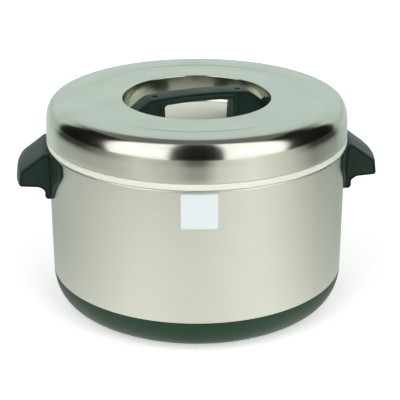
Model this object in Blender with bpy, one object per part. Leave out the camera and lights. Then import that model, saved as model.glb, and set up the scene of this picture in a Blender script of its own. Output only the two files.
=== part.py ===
"""Insulated rice warmer: a double-walled steel tub with a lift-off lid.

Run it with blender --background --python part.py, or from Blender's text editor.
Metres, +Z up. The origin is at the middle of the footprint, on the surface that
the feet stand on. The two side handles lie along X.
"""
import math

import bmesh
import bpy
from mathutils import Matrix, Vector

# Clearances and cuts
SEAT_GAP = 0.0003  # between two pieces that touch
CUT_OVERRUN = 0.0040  # how far a cutting tool runs past the face that it cuts

# Outer shell
SHELL_RADIUS = 0.1990
SHELL_SHEET = 0.0008
SHELL_EXPOSED = 0.1803  # height that shows between the base and the mouth ring
SHELL_IN_RING = 0.0037  # height of the top edge that hides under the mouth ring

# Base cup
BASE_HEIGHT = 0.0410
BASE_TUCK = 0.0280  # how far the cup draws in towards its underside
BASE_WALL = 0.0030
BASE_SPIGOT = 0.0060  # collar that stands up inside the shell

# Foam-filling hole in the base, and its plug
FILL_HOLE_RADIUS = 0.0180
PLUG_RIM = 0.0040
PLUG_RIM_THICKNESS = 0.0013
PLUG_HEIGHT = 0.0050

# Feet and their screws
FOOT_COUNT = 4
FOOT_PROUD = 0.0020
FOOT_RADIUS = 0.0140
FOOT_MARGIN = 0.0050  # from the foot to the edge of the cup's flat underside
FOOT_SOCKET = 0.0012
FOOT_WEB = 0.0009  # rubber that the screw head clamps
FOOT_BOSS_RADIUS = 0.0055
FOOT_BOSS_HEIGHT = 0.0100
FOOT_SCREW_RADIUS = 0.0020
FOOT_SCREW_LENGTH = 0.0100
FOOT_HEAD_RADIUS = 0.0040
FOOT_HEAD_HEIGHT = 0.0012

# Inner pot and the foam around it
WALL_FOAM = 0.0206
FLOOR_FOAM = 0.0300
POT_SHEET = 0.0010
POT_CORNER = 0.0250
POT_LIP = 0.0025
POT_FLANGE = 0.0105

# Mouth ring and its seal
RING_OVERHANG = 0.0020
RING_HEIGHT = 0.0081
RING_WEB = 0.0015
RING_EDGE = 0.0008
RING_LIP_WALL = 0.0020
RING_LIP_DEPTH = 0.0045
SEAL_HEIGHT = 0.0010
SEAL_WIDTH = 0.0050
SEAL_INSET = 0.0020

# Side handles
HANDLE_HALF_WIDTH = 0.0440
HANDLE_REACH = 0.0373  # from the shell to the nose, at the handle's two sides
HANDLE_BOW = 0.0074  # how much further the nose reaches in the middle
HANDLE_TOP_DROP = 0.0058  # from the mouth ring down to the handle's top
HANDLE_CROWN = 0.0012
HANDLE_SHELF = 0.0060  # flat part of the top, next to the shell
HANDLE_NOSE_DROP = 0.0228
HANDLE_NOSE_HEIGHT = 0.0187
HANDLE_ROOT_DROP = 0.0500
HANDLE_LEG_DROP = 0.0620
HANDLE_LEG_THICKNESS = 0.0057
HANDLE_WALL = 0.0050
HANDLE_BACK = 0.0053  # wall between the finger pocket and the shell
WING_SPREAD = 0.0428  # how far each wing runs on beyond the handle's side
WING_THICKNESS = 0.0040
ARCH_RISE = 0.0210
ARCH_LEDGE = 0.0010  # strip of the back wall that stands inside each of the pocket's sides
HANDLE_STATIONS = 9

# Side handle fixings
HANDLE_SCREW_SPAN = 0.0500
HANDLE_SCREW_DROP = 0.0255
HANDLE_SCREW_RADIUS = 0.0020
HANDLE_SCREW_GRIP = 0.0130
HANDLE_HEAD_RADIUS = 0.0040
HANDLE_HEAD_HEIGHT = 0.0024
HANDLE_SEAT_DEPTH = 0.0026  # plastic between the screw head and the shell, at the least
PLATE_LENGTH = 0.0840
PLATE_HEIGHT = 0.0180
PLATE_THICKNESS = 0.0020
NUT_RADIUS = 0.0040
NUT_HEIGHT = 0.0032
FIXING_POCKET_MARGIN = 0.0030

# Front label
LABEL_SIDE = 0.0450
LABEL_DROP = 0.0290  # from the mouth ring down to the label's middle
LABEL_AZIMUTH = math.radians(-4.5)  # from the front, towards the left handle
LABEL_THICKNESS = 0.0003

# Lid cover
LID_OVERHANG = 0.0018  # beyond the shell
LID_SHEET = 0.0008
LID_SKIRT = 0.0110
SHOULDER_WIDTH = 0.0308
SHOULDER_RISE = 0.0372
SHOULDER_POWER = 3.3
DISH_RADIUS = 0.1412  # the lid's top is level from the well's lip out to here, then rises to the shoulder
WELL_RADIUS = 0.1008
WELL_DEPTH = 0.0359
WELL_DRAFT = 0.0015
WELL_FILLET = 0.0060
WELL_LIP = 0.0025
WELL_LIP_DROP = 0.0030

# Lid liner, its gasket and the lid's foam
LINER_SHEET = 0.0008
LINER_DEPTH = 0.0250  # how far the lid reaches down into the pot
LINER_PLAY = 0.0022
LINER_CORNER = 0.0080
GASKET_HEIGHT = 0.0080
GASKET_RAKE = 0.0006
FOAM_SLACK = 0.0012
FIXING_ROOM = 0.0110  # hollow under the well for the grip's plate and nuts

# Lid grip
LID_TURN = math.radians(12.8)
GRIP_RISE = 0.0050  # top of the grip above the well's lip
GRIP_CROWN = 0.0035
GRIP_WIDTH = 0.0270
GRIP_TOP_LENGTH = 0.1390
GRIP_THICKNESS = 0.0095
GRIP_CAP = 0.0020
GRIP_CAP_PROUD = 0.0008
GRIP_GAP = 0.0950  # clear length for the fingers
GRIP_END_SLOPE = math.radians(38.0)
GRIP_WAIST = 0.0012
GRIP_FLARE = 0.0045
GRIP_CORNER = 0.0025

# Lid grip fixings
GRIP_SCREW_SPAN = 0.1150
GRIP_SCREW_RADIUS = 0.0020
GRIP_SCREW_RECESS = 0.0050
GRIP_HEAD_RADIUS = 0.0034
GRIP_HEAD_HEIGHT = 0.0022
GRIP_PLATE_MARGIN = 0.0120
GRIP_PLATE_WIDTH = 0.0240
GRIP_PLATE_THICKNESS = 0.0020
WASHER_RADIUS = 0.0045
WASHER_THICKNESS = 0.0008
SCREW_TIP = 0.0015  # thread that shows beyond a nut

# Screw heads, as shares of the head's radius and height
HEAD_TOP_SHARE = 0.9
CROSS_ARM_SHARE = 0.62
CROSS_HALF_SHARE = 0.14
CROSS_DEPTH_SHARE = 0.6

# Smoothness
TURN_STEPS = 44
SMALL_STEPS = 10
FOOT_STEPS = 16
HEX_SIDES = 6
CORNER_POINTS = 4
SHOULDER_POINTS = 7
DISH_POINTS = 4
TUCK_POINTS = 7
WELD_DISTANCE = 1e-6
SHARP_ANGLE = math.radians(35.0)

# Levels, from the feet up
BASE_BOTTOM = FOOT_PROUD
BASE_FLOOR = BASE_BOTTOM + BASE_WALL
BASE_TOP = BASE_BOTTOM + BASE_HEIGHT
RING_BOTTOM = BASE_TOP + SHELL_EXPOSED
RING_TOP = RING_BOTTOM + RING_HEIGHT
LID_BOTTOM = RING_TOP + SEAT_GAP
SHOULDER_TOP = LID_BOTTOM + LID_SKIRT + SHOULDER_RISE
LIP_TOP = SHOULDER_TOP - WELL_LIP_DROP
WELL_FLOOR = LIP_TOP - WELL_DEPTH
GRIP_TOP = LIP_TOP + GRIP_RISE
LINER_BOTTOM = LID_BOTTOM - LINER_DEPTH
POT_BOTTOM = BASE_FLOOR + SEAT_GAP + FLOOR_FOAM + SEAT_GAP
HANDLE_TOP = RING_BOTTOM - HANDLE_TOP_DROP

# Radii that follow from the shell
SHELL_INSIDE = SHELL_RADIUS - SHELL_SHEET
POT_OUTSIDE = SHELL_INSIDE - SEAT_GAP - WALL_FOAM - SEAT_GAP
POT_INSIDE = POT_OUTSIDE - POT_SHEET
RING_OUTSIDE = SHELL_RADIUS + RING_OVERHANG
LID_OUTSIDE = SHELL_RADIUS + LID_OVERHANG
LINER_OUTSIDE = POT_INSIDE - LINER_PLAY
BASE_FLAT = SHELL_RADIUS - BASE_TUCK
FOOT_CIRCLE = BASE_FLAT - FOOT_MARGIN - FOOT_RADIUS

# Finishes: colour, roughness and metallic value
POLISHED_STEEL = ((0.64, 0.65, 0.62), 0.12, 1.0)
SATIN_STEEL = ((0.56, 0.57, 0.54), 0.34, 1.0)
PLATED_STEEL = ((0.50, 0.51, 0.52), 0.38, 1.0)
BLACK_PLASTIC = ((0.012, 0.020, 0.017), 0.38, 0.0)
BASE_PLASTIC = ((0.028, 0.048, 0.038), 0.50, 0.0)
IVORY_PLASTIC = ((0.82, 0.83, 0.72), 0.42, 0.0)
RUBBER = ((0.02, 0.02, 0.02), 0.80, 0.0)
SILICONE = ((0.62, 0.62, 0.58), 0.55, 0.0)
FOAM = ((0.72, 0.62, 0.36), 0.90, 0.0)
LABEL_FILM = ((0.74, 0.80, 0.78), 0.45, 0.0)


def clear_scene():
    """Remove every object that the scene starts with."""
    for leftover in list(bpy.data.objects):
        bpy.data.objects.remove(leftover, do_unlink=True)


def material(name, look):
    """A Principled material of one colour, roughness and metallic value."""
    colour, roughness, metallic = look
    made = bpy.data.materials.new(name)
    made.use_nodes = True
    made.diffuse_color = (*colour, 1.0)
    shader = made.node_tree.nodes["Principled BSDF"]
    shader.inputs["Base Color"].default_value = (*colour, 1.0)
    shader.inputs["Roughness"].default_value = roughness
    shader.inputs["Metallic"].default_value = metallic
    return made


def add_object(name, bm, parent=None):
    """Weld and face outwards what a bmesh holds, and put it in the scene."""
    bmesh.ops.remove_doubles(bm, verts=bm.verts, dist=WELD_DISTANCE)
    bmesh.ops.recalc_face_normals(bm, faces=bm.faces)
    mesh = bpy.data.meshes.new(name)
    bm.to_mesh(mesh)
    bm.free()
    mesh.shade_smooth()
    mesh.set_sharp_from_angle(angle=SHARP_ANGLE)
    made = bpy.data.objects.new(name, mesh)
    made.parent = parent
    bpy.context.scene.collection.objects.link(made)
    return made


def piece(name, bm, look, parent=None):
    """A sub-part of the object, in its own material."""
    made = add_object(name, bm, parent)
    made.data.materials.append(material(f"{name}_finish", look))
    return made


def tool(name, bm, parent=None):
    """A guide that only shapes its neighbours, and is left out of the object."""
    made = add_object(name, bm, parent)
    made.hide_render = True
    made.display_type = "WIRE"
    return made


def shape_with(target, cutter, operation):
    """Cut, keep or join a piece with another solid."""
    step = target.modifiers.new(cutter.name, "BOOLEAN")
    step.operation = operation
    step.object = cutter
    step.solver = "EXACT"


def add_turned(bm, profile, steps=TURN_STEPS, place=Matrix.Identity(4)):
    """Spin a (radius, height) profile about Z: open if it ends on the axis, closed otherwise."""
    verts = [bm.verts.new((radius, 0.0, height)) for radius, height in profile]
    edges = [bm.edges.new(pair) for pair in zip(verts, verts[1:])]
    if profile[0][0] > 0.0 or profile[-1][0] > 0.0:
        edges.append(bm.edges.new((verts[-1], verts[0])))
    before = set(bm.verts) - set(verts)
    bmesh.ops.spin(bm, geom=verts + edges, cent=(0.0, 0.0, 0.0), axis=(0.0, 0.0, 1.0),
                   angle=math.tau, steps=steps, use_merge=False, use_duplicate=False)
    spun = [vert for vert in bm.verts if vert not in before]
    bmesh.ops.remove_doubles(bm, verts=spun, dist=WELD_DISTANCE)
    spun = [vert for vert in bm.verts if vert not in before]
    bmesh.ops.transform(bm, matrix=place, verts=spun)


def turned(profile, steps=TURN_STEPS):
    """A bmesh that holds one turned solid."""
    bm = bmesh.new()
    add_turned(bm, profile, steps)
    return bm


def add_loft(bm, rings):
    """Extrude a first ring of points through the rings that follow it, and cap both ends."""
    first = face = bm.faces.new([bm.verts.new(point) for point in rings[0]])
    for ring in rings[1:]:
        grown = bmesh.ops.extrude_face_region(bm, geom=[face])["geom"]
        if face is not first:
            bm.faces.remove(face)
        face = next(item for item in grown if isinstance(item, bmesh.types.BMFace))
        for vert, point in zip(face.verts, ring):
            vert.co = point


def lofted(rings):
    """A bmesh that holds one lofted solid, in triangles so that its skewed faces cut cleanly."""
    bm = bmesh.new()
    add_loft(bm, rings)
    bmesh.ops.triangulate(bm, faces=bm.faces)
    return bm


def add_rod(bm, radius, low, high, place=Matrix.Identity(4), steps=SMALL_STEPS):
    """A round or many-sided bar along Z, from one height to another."""
    middle = Matrix.Translation((0.0, 0.0, (low + high) / 2))
    bmesh.ops.create_cone(bm, cap_ends=True, segments=steps, radius1=radius, radius2=radius,
                          depth=high - low, matrix=place @ middle)


def add_block(bm, low, high):
    """A block between two corners."""
    low, high = Vector(low), Vector(high)
    size = Matrix.Diagonal((*(high - low), 1.0))
    bmesh.ops.create_cube(bm, size=1.0, matrix=Matrix.Translation((low + high) / 2) @ size)


def offset_path(path, distance):
    """Points that lie at an even distance to the left of a path, with mitred corners."""
    normals = []
    for start, end in zip(path, path[1:]):
        run = Vector(end) - Vector(start)
        normals.append(Vector((-run.y, run.x)).normalized())
    moved = []
    for index, point in enumerate(path):
        before = normals[max(index - 1, 0)]
        after = normals[min(index, len(normals) - 1)]
        lean = (before + after) * (distance / (1.0 + before.dot(after)))
        moved.append((point[0] + lean.x, point[1] + lean.y))
    return moved


def sheet(path, thickness):
    """The closed profile of a wall of even thickness, laid to the left of a path."""
    return path + offset_path(path, thickness)[::-1]


def arc(centre, radius, start, end, count):
    """Points along a circle's arc, in degrees, both ends included."""
    points = []
    for index in range(count):
        angle = math.radians(start + (end - start) * index / (count - 1))
        points.append((centre[0] + radius * math.cos(angle), centre[1] + radius * math.sin(angle)))
    return points


def spread(low, high, count):
    """Evenly spaced values, both ends included."""
    return [low + (high - low) * index / (count - 1) for index in range(count)]


def outward(x, y, z):
    """A place whose own Z axis points along the world's X axis."""
    return Matrix.Translation((x, y, z)) @ Matrix.Rotation(math.pi / 2, 4, "Y")


def finished_mesh(name, solid, cut, look):
    """The mesh of a small piece with a cut taken out of it, to be shared by its copies."""
    blank = piece(name, solid, look)
    cutter = tool(f"{name}_cut", cut)
    shape_with(blank, cutter, "DIFFERENCE")
    graph = bpy.context.evaluated_depsgraph_get()
    mesh = bpy.data.meshes.new_from_object(blank.evaluated_get(graph))
    bpy.data.objects.remove(blank, do_unlink=True)
    bpy.data.objects.remove(cutter, do_unlink=True)
    return mesh


def add_copies(name, mesh, places, parent=None):
    """Like pieces that share a mesh, numbered, each in its place."""
    for number, place in enumerate(places, 1):
        made = bpy.data.objects.new(f"{name}_{number}", mesh)
        made.parent = parent
        made.matrix_basis = place
        bpy.context.scene.collection.objects.link(made)


def add_screws(name, radius, length, head_radius, head_height, places, parent=None):
    """Pan-head screws with a cross recess: head above the seat at height 0, shank below it."""
    top = head_radius * HEAD_TOP_SHARE
    profile = [(0.0, head_height), (top, head_height), (head_radius, 0.0), (radius, 0.0), (radius, -length),
               (0.0, -length)]
    arm = head_radius * CROSS_ARM_SHARE
    half = head_radius * CROSS_HALF_SHARE
    outline = [(arm, -half), (arm, half), (half, half), (half, arm), (-half, arm), (-half, half),
               (-arm, half), (-arm, -half), (-half, -half), (-half, -arm), (half, -arm), (half, -half)]
    levels = (head_height * (1.0 - CROSS_DEPTH_SHARE), head_height + CUT_OVERRUN)
    cross = lofted([[(x, y, height) for x, y in outline] for height in levels])
    add_copies(name, finished_mesh(name, turned(profile, SMALL_STEPS), cross, PLATED_STEEL), places, parent)


def add_nuts(name, height, bore, places, parent=None):
    """Hexagonal nuts, each hanging from its place."""
    solid, hole = bmesh.new(), bmesh.new()
    add_rod(solid, NUT_RADIUS, -height, 0.0, steps=HEX_SIDES)
    add_rod(hole, bore, -height - CUT_OVERRUN, CUT_OVERRUN)
    add_copies(name, finished_mesh(name, solid, hole, PLATED_STEEL), places, parent)


def rods_tool(name, radius, low, high, places, parent=None):
    """Like round bars, for holes that screws pass through."""
    bars = bmesh.new()
    for place in places:
        add_rod(bars, radius, low, high, place)
    return tool(name, bars, parent)


def base_curve(inset, count):
    """The cup's side, a quarter ellipse drawn in from the shell's radius by an inset."""
    points = []
    for angle in spread(0.0, math.pi / 2, count):
        radius = BASE_FLAT + (BASE_TUCK - inset) * math.sin(angle)
        height = BASE_BOTTOM + inset + (BASE_HEIGHT - inset) * (1.0 - math.cos(angle))
        points.append((radius, height))
    return points


def foot_places():
    """The feet's axes, halfway between the handles and the front."""
    places = []
    for index in range(FOOT_COUNT):
        turn = Matrix.Rotation(math.tau * (index + 0.5) / FOOT_COUNT, 4, "Z")
        places.append(turn @ Matrix.Translation((FOOT_CIRCLE, 0.0, 0.0)))
    return places


def make_base():
    """The moulded cup under the shell, with a collar, sockets and bosses for the feet."""
    rim = FILL_HOLE_RADIUS + PLUG_RIM + SEAT_GAP
    rim_top = BASE_BOTTOM + PLUG_RIM_THICKNESS + SEAT_GAP
    collar = SHELL_INSIDE - SEAT_GAP
    collar_inside = SHELL_RADIUS - BASE_WALL
    collar_top = BASE_TOP + BASE_SPIGOT
    profile = [(FILL_HOLE_RADIUS, BASE_FLOOR), (FILL_HOLE_RADIUS, rim_top), (rim, rim_top), (rim, BASE_BOTTOM)]
    profile += base_curve(0.0, TUCK_POINTS)
    profile += [(collar, BASE_TOP), (collar, collar_top), (collar_inside, collar_top)]
    profile += base_curve(BASE_WALL, TUCK_POINTS - 2)[::-1]
    base = piece("base_cup", turned(profile), BASE_PLASTIC)

    bosses, sockets, bores = bmesh.new(), bmesh.new(), bmesh.new()
    for place in foot_places():
        add_rod(bosses, FOOT_BOSS_RADIUS, BASE_FLOOR - BASE_WALL / 3, BASE_FLOOR + FOOT_BOSS_HEIGHT, place)
        add_rod(sockets, FOOT_RADIUS + SEAT_GAP, BASE_BOTTOM - CUT_OVERRUN, BASE_BOTTOM + FOOT_SOCKET,
                place, FOOT_STEPS)
        add_rod(bores, FOOT_SCREW_RADIUS + SEAT_GAP, BASE_BOTTOM, BASE_FLOOR + FOOT_BOSS_HEIGHT + CUT_OVERRUN, place)
    shape_with(base, tool("foot_bosses", bosses), "UNION")
    shape_with(base, tool("foot_sockets", sockets), "DIFFERENCE")
    shape_with(base, tool("foot_bores", bores), "DIFFERENCE")


def make_fill_plug():
    """The plug that closes the hole through which the foam was poured."""
    rim = FILL_HOLE_RADIUS + PLUG_RIM
    body = FILL_HOLE_RADIUS - SEAT_GAP
    rim_top = BASE_BOTTOM + PLUG_RIM_THICKNESS
    top = BASE_BOTTOM + PLUG_HEIGHT
    profile = [(0.0, BASE_BOTTOM), (rim, BASE_BOTTOM), (rim, rim_top), (body, rim_top), (body, top), (0.0, top)]
    piece("fill_plug", turned(profile, FOOT_STEPS), BASE_PLASTIC)


def make_feet():
    """Four rubber feet in the cup's sockets, each held by a screw from below."""
    seat = BASE_BOTTOM + FOOT_SOCKET - SEAT_GAP
    web = seat - FOOT_WEB
    recess = FOOT_HEAD_RADIUS + SEAT_GAP
    bore = FOOT_SCREW_RADIUS + SEAT_GAP
    profile = [(bore, web), (recess, web), (recess, 0.0), (FOOT_RADIUS, 0.0), (FOOT_RADIUS, seat), (bore, seat)]
    blank = piece("foot_pad", turned(profile, FOOT_STEPS), RUBBER)
    add_copies("foot_pad", blank.data, foot_places())
    bpy.data.objects.remove(blank, do_unlink=True)
    head_down = Matrix.Translation((0.0, 0.0, web - SEAT_GAP)) @ Matrix.Rotation(math.pi, 4, "X")
    add_screws("foot_screw", FOOT_SCREW_RADIUS, FOOT_SCREW_LENGTH, FOOT_HEAD_RADIUS, FOOT_HEAD_HEIGHT,
               [place @ head_down for place in foot_places()])


def handle_screw_height():
    """Height of the side handles' screws."""
    return HANDLE_TOP - HANDLE_SCREW_DROP


def handle_screw_places(x):
    """The two screw axes of a side handle, pointing outwards, at a distance from the middle."""
    return [outward(x, side * HANDLE_SCREW_SPAN / 2, handle_screw_height()) for side in (-1, 1)]


def make_shell(seats):
    """The straight satin steel wall, holed for the handles' screws."""
    low = BASE_TOP + SEAT_GAP
    high = RING_BOTTOM + SHELL_IN_RING
    profile = [(SHELL_INSIDE, low), (SHELL_RADIUS, low), (SHELL_RADIUS, high), (SHELL_INSIDE, high)]
    shell = piece("outer_shell", turned(profile), SATIN_STEEL)
    for side, seat in seats.items():
        bores = rods_tool(f"{side}_shell_bores", HANDLE_SCREW_RADIUS + SEAT_GAP, -CUT_OVERRUN * 4, CUT_OVERRUN,
                          handle_screw_places(SHELL_RADIUS), seat)
        shape_with(shell, bores, "DIFFERENCE")


def pot_path():
    """The pot's inner face, from the middle of its floor up and out over the flange."""
    floor = POT_BOTTOM + POT_SHEET
    corner = POT_CORNER - POT_SHEET
    path = [(0.0, floor)]
    path += arc((POT_INSIDE - corner, floor + corner), corner, -90.0, 0.0, CORNER_POINTS)
    path += arc((POT_INSIDE + POT_LIP, RING_TOP - POT_LIP), POT_LIP, 180.0, 90.0, 3)
    path.append((POT_INSIDE + POT_FLANGE, RING_TOP))
    return path


def make_pot():
    """The deep-drawn steel pot that holds the rice."""
    piece("inner_pot", turned(sheet(pot_path(), -POT_SHEET)), SATIN_STEEL)


def ring_rebate():
    """Height of the step in the mouth ring that the seal and the pot's flange sit in."""
    return RING_TOP - POT_SHEET - SEAT_GAP - SEAL_HEIGHT - SEAT_GAP


def make_ring():
    """The ivory plastic ring that bridges the mouth from the shell to the pot."""
    rebate = ring_rebate()
    web = rebate - RING_WEB
    step = POT_INSIDE + POT_FLANGE + SEAT_GAP
    bore = POT_OUTSIDE + SEAT_GAP
    skirt = SHELL_RADIUS + SEAT_GAP
    profile = [(RING_OUTSIDE, RING_BOTTOM), (RING_OUTSIDE, RING_TOP - RING_EDGE), (RING_OUTSIDE - RING_EDGE, RING_TOP),
               (step, RING_TOP), (step, rebate), (bore, rebate), (bore, web - RING_LIP_DEPTH),
               (bore + RING_LIP_WALL, web - RING_LIP_DEPTH), (bore + RING_LIP_WALL, web), (skirt, web),
               (skirt, RING_BOTTOM)]
    piece("rim_ring", turned(profile), IVORY_PLASTIC)

    low = rebate + SEAT_GAP
    inner = POT_OUTSIDE + SEAL_INSET
    seal = [(inner, low), (inner + SEAL_WIDTH, low), (inner + SEAL_WIDTH, low + SEAL_HEIGHT), (inner, low + SEAL_HEIGHT)]
    piece("rim_seal", turned(seal), SILICONE)


def make_body_foam(seats):
    """Foam that fills the space between the shell, the base and the pot."""
    top = ring_rebate() - RING_WEB - RING_LIP_DEPTH - SEAT_GAP
    collar_top = BASE_TOP + BASE_SPIGOT + SEAT_GAP
    outer = SHELL_INSIDE - SEAT_GAP
    inner = POT_OUTSIDE + SEAT_GAP
    plug = FILL_HOLE_RADIUS + SEAT_GAP
    plug_top = BASE_BOTTOM + PLUG_HEIGHT + SEAT_GAP
    under_pot = POT_BOTTOM - SEAT_GAP
    corner = POT_CORNER + SEAT_GAP
    profile = [(0.0, plug_top), (plug, plug_top), (plug, BASE_FLOOR + SEAT_GAP)]
    profile += base_curve(BASE_WALL + 2 * SEAT_GAP, TUCK_POINTS - 2)[:-1]
    collar_inside = SHELL_RADIUS - BASE_WALL - 2 * SEAT_GAP
    profile += [(collar_inside, BASE_TOP), (collar_inside, collar_top), (outer, collar_top), (outer, top), (inner, top)]
    profile += arc((inner - corner, under_pot + corner), corner, 0.0, -90.0, CORNER_POINTS)
    profile.append((0.0, under_pot))
    foam = piece("body_insulation", turned(profile), FOAM)

    bosses = bmesh.new()
    for place in foot_places():
        add_rod(bosses, FOOT_BOSS_RADIUS + SEAT_GAP, -CUT_OVERRUN, BASE_FLOOR + FOOT_BOSS_HEIGHT + SEAT_GAP, place)
    shape_with(foam, tool("foam_boss_pockets", bosses), "DIFFERENCE")
    half_height = PLATE_HEIGHT / 2 + FIXING_POCKET_MARGIN
    half_length = PLATE_LENGTH / 2 + FIXING_POCKET_MARGIN
    middle = handle_screw_height()
    depth = SHELL_INSIDE - HANDLE_SCREW_GRIP - FIXING_POCKET_MARGIN
    for side, seat in seats.items():
        pocket = bmesh.new()
        add_block(pocket, (depth, -half_length, middle - half_height),
                  (SHELL_RADIUS + CUT_OVERRUN, half_length, middle + half_height))
        shape_with(foam, tool(f"{side}_fixing_pocket", pocket, seat), "DIFFERENCE")


def handle_section(y, wall):
    """One upright slice of a side handle, in X and Z: the outside, or the pocket a wall inside it."""
    bow = 1.0 - (y / HANDLE_HALF_WIDTH) ** 2
    reach = SHELL_RADIUS + HANDLE_REACH + HANDLE_BOW * bow - wall
    top = HANDLE_TOP + HANDLE_CROWN * bow - wall
    nose_top = HANDLE_TOP - HANDLE_NOSE_DROP - wall / 2
    nose_bottom = HANDLE_TOP - HANDLE_NOSE_DROP - HANDLE_NOSE_HEIGHT
    root = SHELL_RADIUS - HANDLE_REACH / 2
    edge = HANDLE_NOSE_HEIGHT / 8
    shelf = SHELL_RADIUS + HANDLE_SHELF
    if wall:
        below = HANDLE_TOP - HANDLE_LEG_DROP - CUT_OVERRUN
        return [(root, y, below), (root, y, top), (shelf, y, top), (reach - edge, y, nose_top), (reach, y, below)]
    leg_top = HANDLE_TOP - HANDLE_ROOT_DROP
    leg_tip = HANDLE_TOP - HANDLE_LEG_DROP
    leg = SHELL_RADIUS + HANDLE_LEG_THICKNESS
    return [(root, y, leg_tip), (root, y, top), (shelf, y, top), (shelf + edge, y, top - edge / 2),
            (reach - 2 * edge, y, nose_top + edge / 2), (reach - edge, y, nose_top - edge / 2),
            (reach, y, nose_bottom + edge), (reach - edge, y, nose_bottom),
            (SHELL_RADIUS + HANDLE_REACH / 3, y, leg_top + HANDLE_REACH / 8),
            (leg, y, leg_top), (leg, y, leg_tip + 2 * edge), (leg - edge, y, leg_tip)]


def wing_outline():
    """The outline of a side handle's wings and legs, in Y and Z, seen along X."""
    side = HANDLE_HALF_WIDTH
    reach_shares = ((0.96, 0.02), (1.0, 0.06), (1.0, 0.25), (0.86, 0.38), (0.53, 0.61), (0.35, 0.75), (0.1, 0.97))
    half = [(side + WING_SPREAD * out, HANDLE_TOP - HANDLE_LEG_DROP * down) for out, down in reach_shares]
    return half + [(-y, z) for y, z in half[::-1]]


def arch_outline():
    """The arch between a side handle's legs, in Y and Z, where the fingers go in."""
    side = HANDLE_HALF_WIDTH - HANDLE_WALL - ARCH_LEDGE
    leg = HANDLE_TOP - HANDLE_LEG_DROP
    rise_shares = ((1.0, 0.35), (0.86, 0.62), (0.62, 0.84), (0.3, 1.0))
    half = [(side, leg - CUT_OVERRUN)]
    half += [(side * out, leg + ARCH_RISE * up) for out, up in rise_shares]
    return half + [(-y, z) for y, z in half[::-1]]


def outline_tool(name, outline, near, far, seat):
    """An outline in Y and Z, carried along X."""
    return tool(name, lofted([[(x, y, z) for y, z in outline] for x in (near, far)]), seat)


def barrel_tool(name, radius, seat=None):
    """A solid drum as tall as the side handles, with the shell's own facets."""
    low = HANDLE_TOP - 2 * HANDLE_LEG_DROP
    high = HANDLE_TOP + HANDLE_LEG_DROP
    return tool(name, turned([(0.0, low), (radius, low), (radius, high), (0.0, high)]), seat)


def make_side_handle(side, seat):
    """One black grip: a hollow hood with a finger pocket, on wings that hug the shell."""
    ends = spread(-HANDLE_HALF_WIDTH, HANDLE_HALF_WIDTH, HANDLE_STATIONS)
    handle = piece(f"{side}_handle", lofted([handle_section(y, 0.0) for y in ends]), BLACK_PLASTIC, seat)

    root = SHELL_RADIUS - HANDLE_REACH
    wings = outline_tool(f"{side}_wings", wing_outline(), root, SHELL_RADIUS + HANDLE_REACH, seat)
    shape_with(wings, barrel_tool(f"{side}_wing_face", SHELL_RADIUS + SEAT_GAP + WING_THICKNESS, seat), "INTERSECT")
    shape_with(handle, wings, "UNION")

    inner_half = HANDLE_HALF_WIDTH - HANDLE_WALL
    pocket_ends = spread(-inner_half, inner_half, HANDLE_STATIONS - 2)
    pocket = tool(f"{side}_pocket", lofted([handle_section(y, HANDLE_WALL) for y in pocket_ends]), seat)
    shape_with(pocket, barrel_tool(f"{side}_back_wall", SHELL_RADIUS + HANDLE_BACK, seat), "DIFFERENCE")
    shape_with(handle, pocket, "DIFFERENCE")

    arch = outline_tool(f"{side}_arch", arch_outline(), root, SHELL_RADIUS + HANDLE_BACK + CUT_OVERRUN, seat)
    shape_with(handle, arch, "DIFFERENCE")
    shape_with(handle, barrel_tool(f"{side}_shell_room", SHELL_RADIUS + SEAT_GAP, seat), "DIFFERENCE")

    places = handle_screw_places(SHELL_RADIUS)
    bores = rods_tool(f"{side}_handle_bores", HANDLE_SCREW_RADIUS + SEAT_GAP, -HANDLE_BACK, 2 * HANDLE_BACK, places, seat)
    shape_with(handle, bores, "DIFFERENCE")
    seats = rods_tool(f"{side}_head_seats", HANDLE_HEAD_RADIUS + 2 * SEAT_GAP, HANDLE_SEAT_DEPTH,
                      HANDLE_BACK + CUT_OVERRUN, places, seat)
    shape_with(handle, seats, "DIFFERENCE")


def make_handle_fixings(side, seat):
    """A curved plate inside the shell, and two screws and nuts that clamp a handle to it."""
    add_screws(f"{side}_handle_screw", HANDLE_SCREW_RADIUS, HANDLE_SCREW_GRIP, HANDLE_HEAD_RADIUS, HANDLE_HEAD_HEIGHT,
               handle_screw_places(SHELL_RADIUS + HANDLE_SEAT_DEPTH + SEAT_GAP), seat)

    middle = handle_screw_height()
    blank = bmesh.new()
    add_block(blank, (SHELL_RADIUS - HANDLE_REACH, -PLATE_LENGTH / 2, middle - PLATE_HEIGHT / 2),
              (SHELL_RADIUS + CUT_OVERRUN, PLATE_LENGTH / 2, middle + PLATE_HEIGHT / 2))
    plate = piece(f"{side}_handle_plate", blank, PLATED_STEEL, seat)
    outside = SHELL_INSIDE - SEAT_GAP
    inside = outside - PLATE_THICKNESS
    low, high = middle - PLATE_HEIGHT, middle + PLATE_HEIGHT
    band = turned([(inside, low), (outside, low), (outside, high), (inside, high)])
    shape_with(plate, tool(f"{side}_plate_curve", band, seat), "INTERSECT")
    places = handle_screw_places(SHELL_RADIUS)
    bores = rods_tool(f"{side}_plate_bores", HANDLE_SCREW_RADIUS + SEAT_GAP, -CUT_OVERRUN * 4, CUT_OVERRUN, places, seat)
    shape_with(plate, bores, "DIFFERENCE")

    far = HANDLE_SCREW_SPAN / 2 + NUT_RADIUS
    seat_x = math.sqrt(inside ** 2 - far ** 2) - SEAT_GAP
    add_nuts(f"{side}_handle_nut", NUT_HEIGHT, HANDLE_SCREW_RADIUS + SEAT_GAP, handle_screw_places(seat_x), seat)


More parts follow.
